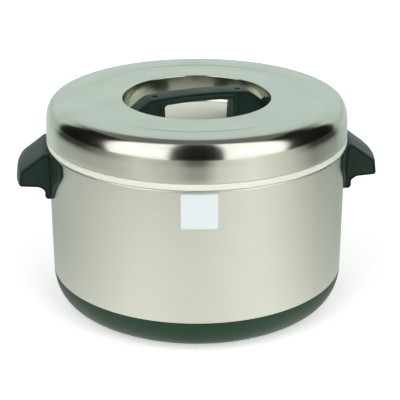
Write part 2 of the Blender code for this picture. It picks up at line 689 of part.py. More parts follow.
def make_label():
    """The plain square label on the front of the shell."""
    facing = Matrix.Rotation(LABEL_AZIMUTH, 4, "Z")
    middle = RING_BOTTOM - LABEL_DROP
    low, high = middle - LABEL_SIDE / 2, middle + LABEL_SIDE / 2
    blank = bmesh.new()
    add_block(blank, (-LABEL_SIDE / 2, -SHELL_RADIUS - LABEL_SIDE, low), (LABEL_SIDE / 2, -SHELL_RADIUS / 2, high))
    bmesh.ops.transform(blank, matrix=facing, verts=blank.verts)
    label = piece("front_label", blank, LABEL_FILM)
    inside = SHELL_RADIUS + SEAT_GAP
    outside = inside + LABEL_THICKNESS
    band = turned([(inside, low - CUT_OVERRUN), (outside, low - CUT_OVERRUN), (outside, high + CUT_OVERRUN),
                   (inside, high + CUT_OVERRUN)])
    shape_with(label, tool("label_curve", band), "INTERSECT")


def well_path():
    """The well in the lid's middle, from its floor's centre out to the top of its lip."""
    floor_radius = WELL_RADIUS - WELL_DRAFT - WELL_FILLET
    path = [(0.0, WELL_FLOOR)]
    path += arc((floor_radius, WELL_FLOOR + WELL_FILLET), WELL_FILLET, -90.0, 0.0, CORNER_POINTS)
    path += arc((WELL_RADIUS + WELL_LIP, LIP_TOP - WELL_LIP), WELL_LIP, 180.0, 90.0, 2)
    return path


def cover_path():
    """The lid cover's outer face, from the middle of the well out and down to the skirt's edge."""
    path = well_path()
    shoulder = LID_OUTSIDE - SHOULDER_WIDTH
    for share in spread(0.0, 1.0, DISH_POINTS)[:-1]:
        rise = share ** 2 * (3.0 - 2.0 * share)
        path.append((DISH_RADIUS + (shoulder - DISH_RADIUS) * share, LIP_TOP + WELL_LIP_DROP * rise))
    skirt_top = LID_BOTTOM + LID_SKIRT
    for angle in spread(math.pi / 2, 0.0, SHOULDER_POINTS):
        out = math.cos(angle) ** (2.0 / SHOULDER_POWER) if angle < math.pi / 2 else 0.0
        up = math.sin(angle) ** (2.0 / SHOULDER_POWER)
        path.append((shoulder + SHOULDER_WIDTH * out, skirt_top + SHOULDER_RISE * up))
    path.append((LID_OUTSIDE, LID_BOTTOM))
    return path


def make_cover(carrier, grip_turn):
    """The polished steel cover, with a sunk well and holes for the grip's screws."""
    cover = piece("lid_cover", turned(sheet(cover_path(), -LID_SHEET)), POLISHED_STEEL, carrier)
    bores = rods_tool("cover_bores", GRIP_SCREW_RADIUS + SEAT_GAP, WELL_FLOOR - CUT_OVERRUN, WELL_FLOOR + CUT_OVERRUN,
                      grip_screw_places(0.0), grip_turn)
    shape_with(cover, bores, "DIFFERENCE")


def make_liner(carrier):
    """The lid's lower pan, whose spigot drops into the pot, and the gasket around it."""
    flange = LID_OUTSIDE - LID_SHEET - SEAT_GAP
    path = [(0.0, LINER_BOTTOM)]
    path += arc((LINER_OUTSIDE - LINER_CORNER, LINER_BOTTOM + LINER_CORNER), LINER_CORNER, -90.0, 0.0, 4)
    path += [(LINER_OUTSIDE, LID_BOTTOM), (flange, LID_BOTTOM)]
    piece("lid_liner", turned(sheet(path, LINER_SHEET)), SATIN_STEEL, carrier)

    inner = LINER_OUTSIDE + SEAT_GAP
    outer = POT_INSIDE - SEAT_GAP
    room = LINER_DEPTH - LINER_CORNER
    low = LINER_BOTTOM + LINER_CORNER + (room - GASKET_HEIGHT) / 3
    gasket = [(inner, low), (outer - GASKET_RAKE, low), (outer, low + GASKET_HEIGHT), (inner, low + GASKET_HEIGHT)]
    piece("lid_gasket", turned(gasket), SILICONE, carrier)


def make_lid_foam(carrier):
    """The lid's foam, between the liner and the cover, hollowed under the well for the fixings."""
    pan = LINER_OUTSIDE - LINER_SHEET - SEAT_GAP
    corner = LINER_CORNER - LINER_SHEET - SEAT_GAP
    bottom = LINER_BOTTOM + LINER_SHEET + SEAT_GAP
    ledge = LID_BOTTOM + LINER_SHEET + SEAT_GAP
    under_well = WELL_FLOOR - LID_SHEET - FIXING_ROOM
    slack = LID_SHEET + FOAM_SLACK
    cover = offset_path(cover_path(), -slack)
    well_end = len(well_path())
    floor_radius = cover[1][0]
    profile = [(0.0, bottom)]
    profile += arc((pan - corner, bottom + corner), corner, -90.0, 0.0, 3)
    profile += [(pan, ledge), (cover[-1][0], ledge)]
    profile += cover[-2:well_end + 2:-2]
    profile += cover[well_end:0:-1]
    profile += [(floor_radius, under_well), (0.0, under_well)]
    piece("lid_insulation", turned(profile), FOAM, carrier)


def grip_screw_places(height):
    """The axes of the grip's two screws, in the grip's own turned frame."""
    return [Matrix.Translation((side * GRIP_SCREW_SPAN / 2, 0.0, height)) for side in (-1, 1)]


def grip_top_path():
    """The grip's top edge in X and Z: down one end, over the crown, and down the other."""
    half = GRIP_TOP_LENGTH / 2
    end = WELL_RADIUS + CUT_OVERRUN
    drop = (end - half) * math.tan(GRIP_END_SLOPE)
    crown = [(x, GRIP_TOP + GRIP_CROWN * (1.0 - (x / half) ** 2)) for x in spread(half, -half, 7)]
    return [(end, GRIP_TOP - drop)] + crown + [(-end, GRIP_TOP - drop)]


def grip_leg_ring(side, share):
    """A level slice through one of the grip's legs, at a share of its way down to the well's floor."""
    top = GRIP_TOP - GRIP_CAP / 2
    bottom = WELL_FLOOR - CUT_OVERRUN / 2
    height = top + (bottom - top) * share
    slope_start = GRIP_TOP - GRIP_CAP / 2 / math.cos(GRIP_END_SLOPE)
    end = GRIP_TOP_LENGTH / 2 + (slope_start - height) / math.tan(GRIP_END_SLOPE)
    waist = GRIP_WAIST * math.sin(math.pi * share)
    half = GRIP_WIDTH / 2 - GRIP_CAP_PROUD - waist + GRIP_FLARE * share ** 2
    near = GRIP_GAP / 2
    plan = [(near, -half + GRIP_CORNER), (near + GRIP_CORNER, -half), (end, -half),
            (end, half), (near + GRIP_CORNER, half), (near, half - GRIP_CORNER)]
    under_crown = 0.0 if share else GRIP_CROWN * (1.0 - (2 * near / GRIP_TOP_LENGTH) ** 2)
    return [(side * x, side * y, height + (0.0 if x == end else under_crown)) for x, y in plan]


def make_grip(carrier, grip_turn):
    """The black bridge across the well: a cap over a bar and two flared legs, trimmed to the well's wall."""
    half = GRIP_WIDTH / 2
    cap_outline = sheet(grip_top_path(), GRIP_CAP)
    rings = [[(x, y, z) for x, z in cap_outline] for y in (-half, half)]
    grip = piece("lid_grip", lofted(rings), BLACK_PLASTIC, grip_turn)

    crown = grip_top_path()[1:-1]
    reach = GRIP_GAP / 2 + 2 * GRIP_CORNER
    upper = [(x * reach / (GRIP_TOP_LENGTH / 2), z - GRIP_CAP / 2) for x, z in crown]
    bar_outline = upper + [(x, GRIP_TOP - GRIP_THICKNESS) for x, z in upper[::-1]]
    bar_half = half - GRIP_CAP_PROUD + GRIP_WAIST / 4
    bar = tool("grip_bar", lofted([[(x, y, z) for x, z in bar_outline] for y in (-bar_half, bar_half)]), grip_turn)
    shape_with(grip, bar, "UNION")
    for side, label in ((-1, "left"), (1, "right")):
        rings = [grip_leg_ring(side, share) for share in spread(0.0, 1.0, 6)]
        shape_with(grip, tool(f"grip_{label}_leg", lofted(rings), grip_turn), "UNION")

    wall = offset_path(well_path(), SEAT_GAP)[:-2]
    top = GRIP_TOP + GRIP_THICKNESS
    room = wall + [(wall[-1][0], top), (0.0, top)]
    shape_with(grip, tool("well_room", turned(room), carrier), "INTERSECT")

    shank = rods_tool("grip_bores", GRIP_SCREW_RADIUS + SEAT_GAP, WELL_FLOOR - CUT_OVERRUN, GRIP_TOP + CUT_OVERRUN,
                      grip_screw_places(0.0), grip_turn)
    shape_with(grip, shank, "DIFFERENCE")
    heads = rods_tool("grip_head_recesses", GRIP_HEAD_RADIUS + SEAT_GAP, GRIP_TOP - GRIP_SCREW_RECESS,
                      GRIP_TOP + CUT_OVERRUN, grip_screw_places(0.0), grip_turn)
    shape_with(grip, heads, "DIFFERENCE")


def make_grip_fixings(grip_turn):
    """Two long screws down through the grip, with a plate, washers and nuts under the well."""
    plate_top = WELL_FLOOR - LID_SHEET - SEAT_GAP
    washer_top = plate_top - GRIP_PLATE_THICKNESS - SEAT_GAP
    nut_top = washer_top - WASHER_THICKNESS - SEAT_GAP
    bore = GRIP_SCREW_RADIUS + SEAT_GAP
    head_seat = GRIP_TOP - GRIP_SCREW_RECESS + SEAT_GAP
    length = head_seat - nut_top + NUT_HEIGHT + SCREW_TIP
    add_screws("lid_grip_screw", GRIP_SCREW_RADIUS, length, GRIP_HEAD_RADIUS, GRIP_HEAD_HEIGHT,
               grip_screw_places(head_seat), grip_turn)

    blank = bmesh.new()
    half_length = GRIP_SCREW_SPAN / 2 + GRIP_PLATE_MARGIN
    add_block(blank, (-half_length, -GRIP_PLATE_WIDTH / 2, plate_top - GRIP_PLATE_THICKNESS),
              (half_length, GRIP_PLATE_WIDTH / 2, plate_top))
    plate = piece("lid_grip_plate", blank, PLATED_STEEL, grip_turn)
    holes = rods_tool("grip_plate_bores", bore, plate_top - CUT_OVERRUN, plate_top + CUT_OVERRUN,
                      grip_screw_places(0.0), grip_turn)
    shape_with(plate, holes, "DIFFERENCE")

    ring = [(bore, -WASHER_THICKNESS), (WASHER_RADIUS, -WASHER_THICKNESS), (WASHER_RADIUS, 0.0), (bore, 0.0)]
    blank = piece("lid_grip_washer", turned(ring, SMALL_STEPS), PLATED_STEEL)
    add_copies("lid_grip_washer", blank.data, grip_screw_places(washer_top), grip_turn)
    bpy.data.objects.remove(blank, do_unlink=True)
    add_nuts("lid_grip_nut", NUT_HEIGHT, bore, grip_screw_places(nut_top), grip_turn)


def add_frame(name, turn=0.0, parent=None):
    """An empty on the vertical axis that carries the pieces fixed to it."""
    frame = bpy.data.objects.new(name, None)
    frame.parent = parent
    frame.rotation_euler = (0.0, 0.0, turn)
    bpy.context.scene.collection.objects.link(frame)
    return frame


def main():
    """Build the body from the feet up, and then the lid."""
    clear_scene()
    seats = {"right": add_frame("right_handle_seat"), "left": add_frame("left_handle_seat", math.pi)}
    make_base()
    make_fill_plug()
    make_feet()
    make_shell(seats)
    make_pot()
    make_ring()
    make_body_foam(seats)
    for side, seat in seats.items():
        make_side_handle(side, seat)
        make_handle_fixings(side, seat)
    make_label()

    carrier = add_frame("lid_lift_axis")
    grip_turn = add_frame("lid_grip_turn", LID_TURN, carrier)
    make_cover(carrier, grip_turn)
    make_liner(carrier)
    make_lid_foam(carrier)
    make_grip(carrier, grip_turn)
    make_grip_fixings(grip_turn)


main()
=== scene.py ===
"""Rice warmer: the finished look of the insulated steel container and its lift-off lid.

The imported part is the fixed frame. Every visible piece is modelled finely on it here, in metres, +Z up,
with the side handles along X and the label towards -Y.
"""
import logging
import math
from dataclasses import dataclass, field
from enum import Enum
from typing import Sequence

import bmesh
import bpy
import numpy as np
from mathutils import Matrix, Vector


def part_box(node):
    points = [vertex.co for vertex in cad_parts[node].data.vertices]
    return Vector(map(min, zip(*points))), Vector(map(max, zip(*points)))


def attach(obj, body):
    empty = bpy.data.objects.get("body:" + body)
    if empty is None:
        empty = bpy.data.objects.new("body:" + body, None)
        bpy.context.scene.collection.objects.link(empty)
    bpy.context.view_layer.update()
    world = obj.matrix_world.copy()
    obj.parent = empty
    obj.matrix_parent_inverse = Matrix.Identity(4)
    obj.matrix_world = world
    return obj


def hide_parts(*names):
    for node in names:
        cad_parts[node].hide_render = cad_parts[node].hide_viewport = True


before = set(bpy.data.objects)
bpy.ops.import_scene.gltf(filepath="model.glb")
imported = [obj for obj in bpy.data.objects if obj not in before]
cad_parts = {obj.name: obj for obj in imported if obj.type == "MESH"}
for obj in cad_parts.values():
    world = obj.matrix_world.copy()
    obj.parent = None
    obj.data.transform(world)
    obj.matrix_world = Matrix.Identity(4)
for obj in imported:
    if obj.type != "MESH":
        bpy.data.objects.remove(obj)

LOG = logging.getLogger("rice_warmer")
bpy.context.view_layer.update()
MM = 0.001
TAU = 2.0 * math.pi
QUARTER = math.pi / 2
SEAT_GAP = 0.3 * MM  # of play between two pieces
OVERRUN = 4.0 * MM  # of a cutting tool beyond what it cuts
LEAST_RADIUS = 1e-7  # of a corner that stays sharp
LEAST_SWEEP = 1e-6  # of an arc, in radians
WELD_DISTANCE = 1e-6
SMOOTH_ANGLE = math.radians(40.0)  # up to which an edge is shaded smooth
CARVED_ANGLE = math.radians(32.0)  # the same on carved pieces
UV_MAP = "millimetres"


class Slot(Enum):
    """The record's material slots."""

    POLISHED_STEEL = "polished_steel"
    SATIN_STEEL = "satin_steel"
    PLATED_STEEL = "plated_steel"
    BLACK_PLASTIC = "black_plastic"
    BASE_PLASTIC = "base_plastic"
    IVORY_PLASTIC = "ivory_plastic"
    FOOT_RUBBER = "foot_rubber"
    SILICONE = "silicone"
    FOAM = "foam"
    LABEL_FILM = "label_film"


class Assembly(Enum):
    """The two bodies of the part."""

    BODY = "body"
    LID = "lid"


# Colour and node helpers

def linear(hex_colour: str) -> tuple[float, float, float, float]:
    """Turn an sRGB hex colour into linear values.

    Args:
        hex_colour: six hex digits, with or without a leading hash.

    Returns:
        Linear red, green and blue, and 1 for alpha.
    """
    digits = hex_colour.lstrip("#")
    coded = [int(digits[place:place + 2], 16) / 255.0 for place in (0, 2, 4)]
    red, green, blue = (c / 12.92 if c <= 0.04045 else ((c + 0.055) / 1.055) ** 2.4 for c in coded)
    return red, green, blue, 1.0


def feed(tree: bpy.types.NodeTree, node: bpy.types.Node, links: dict | None = None,
         values: dict | None = None) -> None:
    """Set the plain values of a node's inputs and link the others.

    Args:
        tree: the node's tree.
        node: the node.
        links: input name or number to the output socket that feeds it.
        values: input name or number to a plain value.
    """
    for name, value in (values or {}).items():
        node.inputs[name].default_value = value
    for name, socket in (links or {}).items():
        tree.links.new(socket, node.inputs[name])


def add_node(tree: bpy.types.NodeTree, kind: str, settings: dict | None = None, links: dict | None = None,
             values: dict | None = None, stops: Sequence[tuple] = ()) -> bpy.types.Node:
    """Add a node with its settings, its inputs' values, its incoming links and a ramp's stops.

    Args:
        tree: the node tree that takes the node.
        kind: the node's type name.
        settings: attributes of the node.
        links: input name or number to the output socket that feeds it.
        values: input name or number to a plain value.
        stops: (position, linear colour) pairs of a colour ramp, two or more.

    Returns:
        The new node.
    """
    node = tree.nodes.new(kind)
    for name, value in (settings or {}).items():
        setattr(node, name, value)
    feed(tree, node, links, values)
    if stops:
        elements = node.color_ramp.elements
        while len(elements) < len(stops):
            elements.new(0.5)
        for element, (position, colour) in zip(elements, stops):
            element.position = position
            element.color = colour
    return node


def blank_material(name: str) -> tuple[bpy.types.Material, bpy.types.NodeTree, bpy.types.Node]:
    """A material with only a Principled shader, its tree and the shader.

    Args:
        name: the material's name.

    Returns:
        The material, its node tree and its shader node.
    """
    material = bpy.data.materials.new(name)
    material.use_nodes = True
    tree = material.node_tree
    return material, tree, tree.nodes["Principled BSDF"]


# Finishes

@dataclass(frozen=True)
class Finish:
    """What every finish has: its material's name and its slot in the record."""

    name: str
    slot: Slot

    def build(self) -> bpy.types.Material:
        """Make the material, which each finish does in its own way."""
        raise NotImplementedError


@dataclass(frozen=True)
class BrushedSteel(Finish):
    """Stainless sheet with a fine grain round the body: soft streaky gloss that blurs what it mirrors."""

    light: str = "#C6C9BF"
    dark: str = "#BEC1B7"
    roughness: float = 0.38
    stretch: float = 0.6
    roughness_swing: float = 0.05
    grain_mm: float = 0.5  # spacing of the grain, drawn coarser than the real 0.1 mm so that it shows
    grain_length_mm: float = 60.0
    grain_depth_mm: float = 0.0012
    grain_share: float = 0.6  # of the grain in the gloss, beside the smudges
    smudge_mm: float = 90.0

    def build(self) -> bpy.types.Material:
        """Make the material on the piece's own UV map, which is in millimetres.

        Returns:
            The material.
        """
        material, tree, shader = blank_material(self.name)
        uv = add_node(tree, "ShaderNodeUVMap", {"uv_map": UV_MAP})
        grain_map = add_node(tree, "ShaderNodeMapping", links={"Vector": uv.outputs["UV"]},
                             values={"Scale": (1.0 / self.grain_length_mm, 1.0 / self.grain_mm, 1.0)})
        grain = add_node(tree, "ShaderNodeTexNoise", links={"Vector": grain_map.outputs["Vector"]},
                         values={"Scale": 1.0, "Detail": 3.0, "Roughness": 0.65})
        place = add_node(tree, "ShaderNodeTexCoord")
        smudge = add_node(tree, "ShaderNodeTexNoise", links={"Vector": place.outputs["Object"]},
                          values={"Scale": 1.0 / (self.smudge_mm * MM), "Detail": 2.0, "Roughness": 0.5})
        blend = add_node(tree, "ShaderNodeMath", {"operation": "MULTIPLY_ADD"},
                         {0: grain.outputs["Fac"], 2: smudge.outputs["Fac"]}, {1: self.grain_share})
        swing = add_node(tree, "ShaderNodeMapRange", links={"Value": blend.outputs["Value"]},
                         values={"From Min": 0.4, "From Max": 1.2,
                                 "To Min": self.roughness - self.roughness_swing,
                                 "To Max": self.roughness + self.roughness_swing})
        tint = add_node(tree, "ShaderNodeValToRGB", links={"Fac": grain.outputs["Fac"]},
                        stops=((0.3, linear(self.dark)), (0.7, linear(self.light))))
        bump = add_node(tree, "ShaderNodeBump", links={"Height": grain.outputs["Fac"]},
                        values={"Strength": 1.0, "Distance": self.grain_depth_mm * MM})
        tangent = add_node(tree, "ShaderNodeTangent", {"direction_type": "RADIAL", "axis": "Z"})
        feed(tree, shader,
             {"Tangent": tangent.outputs["Tangent"], "Base Color": tint.outputs["Color"],
              "Roughness": swing.outputs["Result"], "Normal": bump.outputs["Normal"]},
             {"Anisotropic": self.stretch, "Metallic": 1.0})
        return material


@dataclass(frozen=True)
class PolishedSteel(Finish):
    """Stainless sheet, wheel-buffed outside and blasted matt on the well's floor.

    The buffed skin mirrors clearly and shows faint turning lines; the blasted floor looks pale and matt.
    """

    colour: str = "#B9BBB0"
    worn: str = "#B0B2A7"
    roughness: float = 0.13
    smudge_roughness: float = 0.04
    blasted_roughness: float = 0.60
    blasted_metallic: float = 0.12  # the blasted floor scatters light, so it looks pale from every side
    blasted_colour: str = "#F6FBEE"
    bright_colour: str = "#BEC2B4"  # the well keeps the sheet's bright skin, which the wheel doesn't reach
    blasted_radius_mm: tuple[float, float] = (90.0, 95.0)
    bright_radius_mm: tuple[float, float] = (98.4, 99.4)
    smudge_mm: float = 55.0
    line_mm: float = 1.6  # spacing of the turning lines, drawn coarser than the real 0.2 mm
    line_length_mm: float = 500.0
    line_depth_mm: float = 0.0012

    def build(self) -> bpy.types.Material:
        """Make the material: smudges on Object coordinates, turning lines along the UV map's V.

        Returns:
            The material.
        """
        material, tree, shader = blank_material(self.name)
        place = add_node(tree, "ShaderNodeTexCoord")
        smudge = add_node(tree, "ShaderNodeTexNoise", links={"Vector": place.outputs["Object"]},
                          values={"Scale": 1.0 / (self.smudge_mm * MM), "Detail": 4.0, "Roughness": 0.55})
        swing = add_node(tree, "ShaderNodeMapRange", links={"Value": smudge.outputs["Fac"]},
                         values={"From Min": 0.35, "From Max": 0.75, "To Min": self.roughness,
                                 "To Max": self.roughness + self.smudge_roughness})
        buffed = add_node(tree, "ShaderNodeValToRGB", links={"Fac": smudge.outputs["Fac"]},
                          stops=((0.35, linear(self.colour)), (0.8, linear(self.worn))))
        parts = add_node(tree, "ShaderNodeSeparateXYZ", links={"Vector": place.outputs["Object"]})
        flat = add_node(tree, "ShaderNodeCombineXYZ",
                        links={"X": parts.outputs["X"], "Y": parts.outputs["Y"]})
        radius = add_node(tree, "ShaderNodeVectorMath", {"operation": "LENGTH"}, {0: flat.outputs["Vector"]})
        matt, bright = (
            add_node(tree, "ShaderNodeMapRange", links={"Value": radius.outputs["Value"]},
                     values={"From Min": near * MM, "From Max": far * MM, "To Min": 1.0, "To Max": 0.0})
            .outputs["Result"] for near, far in (self.blasted_radius_mm, self.bright_radius_mm))
        gloss = add_node(tree, "ShaderNodeMix", {"data_type": "FLOAT"},
                         {0: matt, 2: swing.outputs["Result"]}, {3: self.blasted_roughness})
        metal = add_node(tree, "ShaderNodeMapRange", links={"Value": matt},
                         values={"To Min": 1.0, "To Max": self.blasted_metallic})
        tint = buffed.outputs["Color"]
        for mask, colour in ((bright, self.bright_colour), (matt, self.blasted_colour)):
            tint = add_node(tree, "ShaderNodeMix", {"data_type": "RGBA"}, {0: mask, 6: tint},
                            {7: linear(colour)}).outputs[2]
        uv = add_node(tree, "ShaderNodeUVMap", {"uv_map": UV_MAP})
        line_map = add_node(tree, "ShaderNodeMapping", links={"Vector": uv.outputs["UV"]},
                            values={"Scale": (1.0 / self.line_length_mm, 1.0 / self.line_mm, 1.0)})
        lines = add_node(tree, "ShaderNodeTexNoise", links={"Vector": line_map.outputs["Vector"]},
                         values={"Scale": 1.0, "Detail": 2.0, "Roughness": 0.5})
        bump = add_node(tree, "ShaderNodeBump", links={"Height": lines.outputs["Fac"]},
                        values={"Strength": 1.0, "Distance": self.line_depth_mm * MM})
        feed(tree, shader, {"Base Color": tint, "Roughness": gloss.outputs[0],
                            "Metallic": metal.outputs["Result"], "Normal": bump.outputs["Normal"]})
        return material


@dataclass(frozen=True)
class MouldedPlastic(Finish):
    """Injection-moulded plastic with a fine spark-eroded grain: broad soft gloss over a pebbled skin."""

    colour: str
    mottle: str
    roughness: float = 0.42
    roughness_swing: float = 0.06
    grain_mm: float = 0.9  # grain spacing, drawn coarser than the real 0.3 mm so that it shows
    grain_depth_mm: float = 0.02
    flow_mm: float = 45.0
    ior: float = 1.53
    coat: float = 0.0
    gloss_tint: str = "#FFFFFF"

    def build(self) -> bpy.types.Material:
        """Make the material on Object coordinates.

        Returns:
            The material.
        """
        material, tree, shader = blank_material(self.name)
        place = add_node(tree, "ShaderNodeTexCoord")
        grain = add_node(tree, "ShaderNodeTexNoise", links={"Vector": place.outputs["Object"]},
                         values={"Scale": 1.0 / (self.grain_mm * MM), "Detail": 2.0, "Roughness": 0.6})
        flow = add_node(tree, "ShaderNodeTexNoise", links={"Vector": place.outputs["Object"]},
                        values={"Scale": 1.0 / (self.flow_mm * MM), "Detail": 3.0, "Roughness": 0.5})
        swing = add_node(tree, "ShaderNodeMapRange", links={"Value": flow.outputs["Fac"]},
                         values={"From Min": 0.3, "From Max": 0.7,
                                 "To Min": self.roughness - self.roughness_swing,
                                 "To Max": self.roughness + self.roughness_swing})
        tint = add_node(tree, "ShaderNodeValToRGB", links={"Fac": flow.outputs["Fac"]},
                        stops=((0.3, linear(self.colour)), (0.75, linear(self.mottle))))
        bump = add_node(tree, "ShaderNodeBump", links={"Height": grain.outputs["Fac"]},
                        values={"Strength": 1.0, "Distance": self.grain_depth_mm * MM})
        feed(tree, shader,
             {"Base Color": tint.outputs["Color"], "Roughness": swing.outputs["Result"],
              "Normal": bump.outputs["Normal"]},
             {"IOR": self.ior, "Coat Weight": self.coat, "Specular Tint": linear(self.gloss_tint)})
        return material


@dataclass(frozen=True)
class ZincPlate(Finish):
    """Zinc-plated steel of the fixings: bluish bright metal with a faint spangle."""

    light: str = "#C6C9CC"
    dark: str = "#A8ADB0"
    roughness: float = 0.28
    roughness_swing: float = 0.10
    spangle_mm: float = 2.5

    def build(self) -> bpy.types.Material:
        """Make the material: spangle from a cell pattern on Object coordinates.

        Returns:
            The material.
        """
        material, tree, shader = blank_material(self.name)
        place = add_node(tree, "ShaderNodeTexCoord")
        cells = add_node(tree, "ShaderNodeTexVoronoi", links={"Vector": place.outputs["Object"]},
                         values={"Scale": 1.0 / (self.spangle_mm * MM)})
        tint = add_node(tree, "ShaderNodeValToRGB", links={"Fac": cells.outputs["Distance"]},
                        stops=((0.1, linear(self.light)), (0.8, linear(self.dark))))
        swing = add_node(tree, "ShaderNodeMapRange", links={"Value": cells.outputs["Distance"]},
                         values={"To Min": self.roughness, "To Max": self.roughness + self.roughness_swing})
        feed(tree, shader, {"Base Color": tint.outputs["Color"], "Roughness": swing.outputs["Result"]},
             {"Metallic": 1.0})
        return material


@dataclass(frozen=True)
class CellularFoam(Finish):
    """Poured polyurethane foam: matt, cream, full of small cells."""

    light: str = "#E6D7A4"
    # dark is painted shade, put in the bottoms of the cells' pits
    dark: str = "#C9B57A"
    roughness: float = 0.95
    cell_mm: float = 1.6
    cell_depth_mm: float = 0.3

    def build(self) -> bpy.types.Material:
        """Make the material: cells by a Voronoi pattern on Object coordinates, with painted shade darkening
        each cell's pit.

        Returns:
            The material.
        """
        material, tree, shader = blank_material(self.name)
        place = add_node(tree, "ShaderNodeTexCoord")
        cells = add_node(tree, "ShaderNodeTexVoronoi", links={"Vector": place.outputs["Object"]},
                         values={"Scale": 1.0 / (self.cell_mm * MM)})
        # painted shade: darkest at the cells' middles, where the bump sinks the pits
        tint = add_node(tree, "ShaderNodeValToRGB", links={"Fac": cells.outputs["Distance"]},
                        stops=((0.0, linear(self.dark)), (0.6, linear(self.light))))
        bump = add_node(tree, "ShaderNodeBump", links={"Height": cells.outputs["Distance"]},
                        values={"Strength": 1.0, "Distance": self.cell_depth_mm * MM})
        feed(tree, shader, {"Base Color": tint.outputs["Color"], "Normal": bump.outputs["Normal"]},
             {"Roughness": self.roughness})
        return material


@dataclass(frozen=True)
class PaletteOfFinishes:
    """Every finish of the object, by slot."""

    finishes: tuple[Finish, ...] = (
        PolishedSteel("buffed_stainless_steel", Slot.POLISHED_STEEL),
        BrushedSteel("brushed_stainless_steel", Slot.SATIN_STEEL),
        ZincPlate("zinc_plated_steel", Slot.PLATED_STEEL),
        MouldedPlastic("black_moulded_abs", Slot.BLACK_PLASTIC, "#1F2D27", "#24332C", roughness=0.42,
                       ior=1.26, gloss_tint="#CFF0D6"),
        MouldedPlastic("dark_moulded_polypropylene", Slot.BASE_PLASTIC, "#142E20", "#1A3426", roughness=0.48,
                       ior=1.44, gloss_tint="#C4ECD0"),
        MouldedPlastic("ivory_moulded_abs", Slot.IVORY_PLASTIC, "#E9ECDE", "#E3E6D7", roughness=0.30,
                       grain_depth_mm=0.004, coat=0.2),
        MouldedPlastic("black_foot_rubber", Slot.FOOT_RUBBER, "#1C1D1D", "#262727", roughness=0.82,
                       grain_depth_mm=0.03),
        MouldedPlastic("translucent_silicone", Slot.SILICONE, "#DCDCD4", "#D2D2C9", roughness=0.5, ior=1.41,
                       grain_depth_mm=0.004),
        CellularFoam("poured_foam", Slot.FOAM),
        MouldedPlastic("pale_label_film", Slot.LABEL_FILM, "#E2EBEE", "#DDE7EA", roughness=0.35,
                       grain_depth_mm=0.003, coat=0.3),
    )

    def build(self) -> dict[Slot, bpy.types.Material]:
        """Make every material once.

        Returns:
            Each slot's material.
        """
        return {finish.slot: finish.build() for finish in self.finishes}


# Surfaces worked out with numpy

def unit(vectors: np.ndarray, least: float = 1e-12) -> np.ndarray:
    """Vectors divided by their own lengths, or by the least length where they are shorter."""
    return vectors / np.maximum(np.linalg.norm(vectors, axis=-1, keepdims=True), least)


def half_angle(a: np.ndarray, b: np.ndarray) -> np.ndarray:
    """Half the angle between unit vectors, from the arc cosine of their product."""
    return 0.5 * np.arccos(np.clip((a * b).sum(-1), -1.0, 1.0))


def quarter_turned(vectors: np.ndarray) -> np.ndarray:
    """Flat vectors turned a quarter anticlockwise: (x, y) becomes (-y, x)."""
    return np.stack([-vectors[..., 1], vectors[..., 0]], axis=-1)


def rectangle(low: tuple[float, float], high: tuple[float, float]) -> np.ndarray:
    """The four corners of an upright rectangle, anticlockwise from its low corner."""
    return np.array([low, (high[0], low[1]), high, (low[0], high[1])])


def at_levels(outline: np.ndarray, levels: Sequence[float]) -> np.ndarray:
    """A flat outline repeated at some heights, as (levels, points, 3) loops."""
    return np.stack([np.column_stack([outline, np.full(len(outline), level)]) for level in levels])


def rounded(corners: np.ndarray, radii: Sequence[float], steps: int = 6, closed: bool = True) -> np.ndarray:
    """Round the corners of outlines with arcs.

    At a corner P with unit directions a and b along its two sides, an arc of radius r touches the sides at
    P + t a and P + t b, where t = r / tan(h), h is half the corner's angle, and its centre lies r / sin(h)
    along the bisector. The arc's points come from turning one end's spoke to the other's by spherical
    interpolation.

    Args:
        corners: (..., n, 2) corner points of one or many outlines.
        radii: n radii, or one row of them for each outline.
        steps: points on each arc.
        closed: whether the last corner joins the first; otherwise the two end points stay sharp.

    Returns:
        (..., n * steps, 2) points.
    """
    a = unit(np.roll(corners, 1, axis=-2) - corners)
    b = unit(np.roll(corners, -1, axis=-2) - corners)
    half = half_angle(a, b)[..., None]
    r = np.maximum(np.asarray(radii, float), LEAST_RADIUS)[..., None]
    if not closed:
        r[..., 0, :] = r[..., -1, :] = LEAST_RADIUS
        half[..., 0, :] = half[..., -1, :] = math.pi / 4
    reach = r / np.tan(half)
    centre = corners + unit(a + b, 1e-9) * (r / np.sin(half))
    start = corners + a * reach - centre
    end = corners + b * reach - centre
    sweep = np.maximum(math.pi - 2.0 * half, LEAST_SWEEP)[..., None, :]
    share = np.linspace(0.0, 1.0, steps)[:, None]
    spokes = np.sin((1.0 - share) * sweep) * start[..., None, :] + np.sin(share * sweep) * end[..., None, :]
    points = centre[..., None, :] + spokes / np.sin(sweep)
    if not closed:
        points[..., 0, :, :] = corners[..., 0, None, :]
        points[..., -1, :, :] = corners[..., -1, None, :]
    return points.reshape(*corners.shape[:-2], -1, 2)


def inset(outline: np.ndarray, distance: np.ndarray | float) -> np.ndarray:
    """Move closed outlines inwards along their normals, which are the chords' directions turned a quarter.

    Args:
        outline: (..., n, 2) points, anticlockwise.
        distance: how far, one value or one for each outline.

    Returns:
        The moved points.
    """
    chord = unit(np.roll(outline, -1, axis=-2) - np.roll(outline, 1, axis=-2))
    return outline + quarter_turned(chord) * np.asarray(distance)[..., None, None]


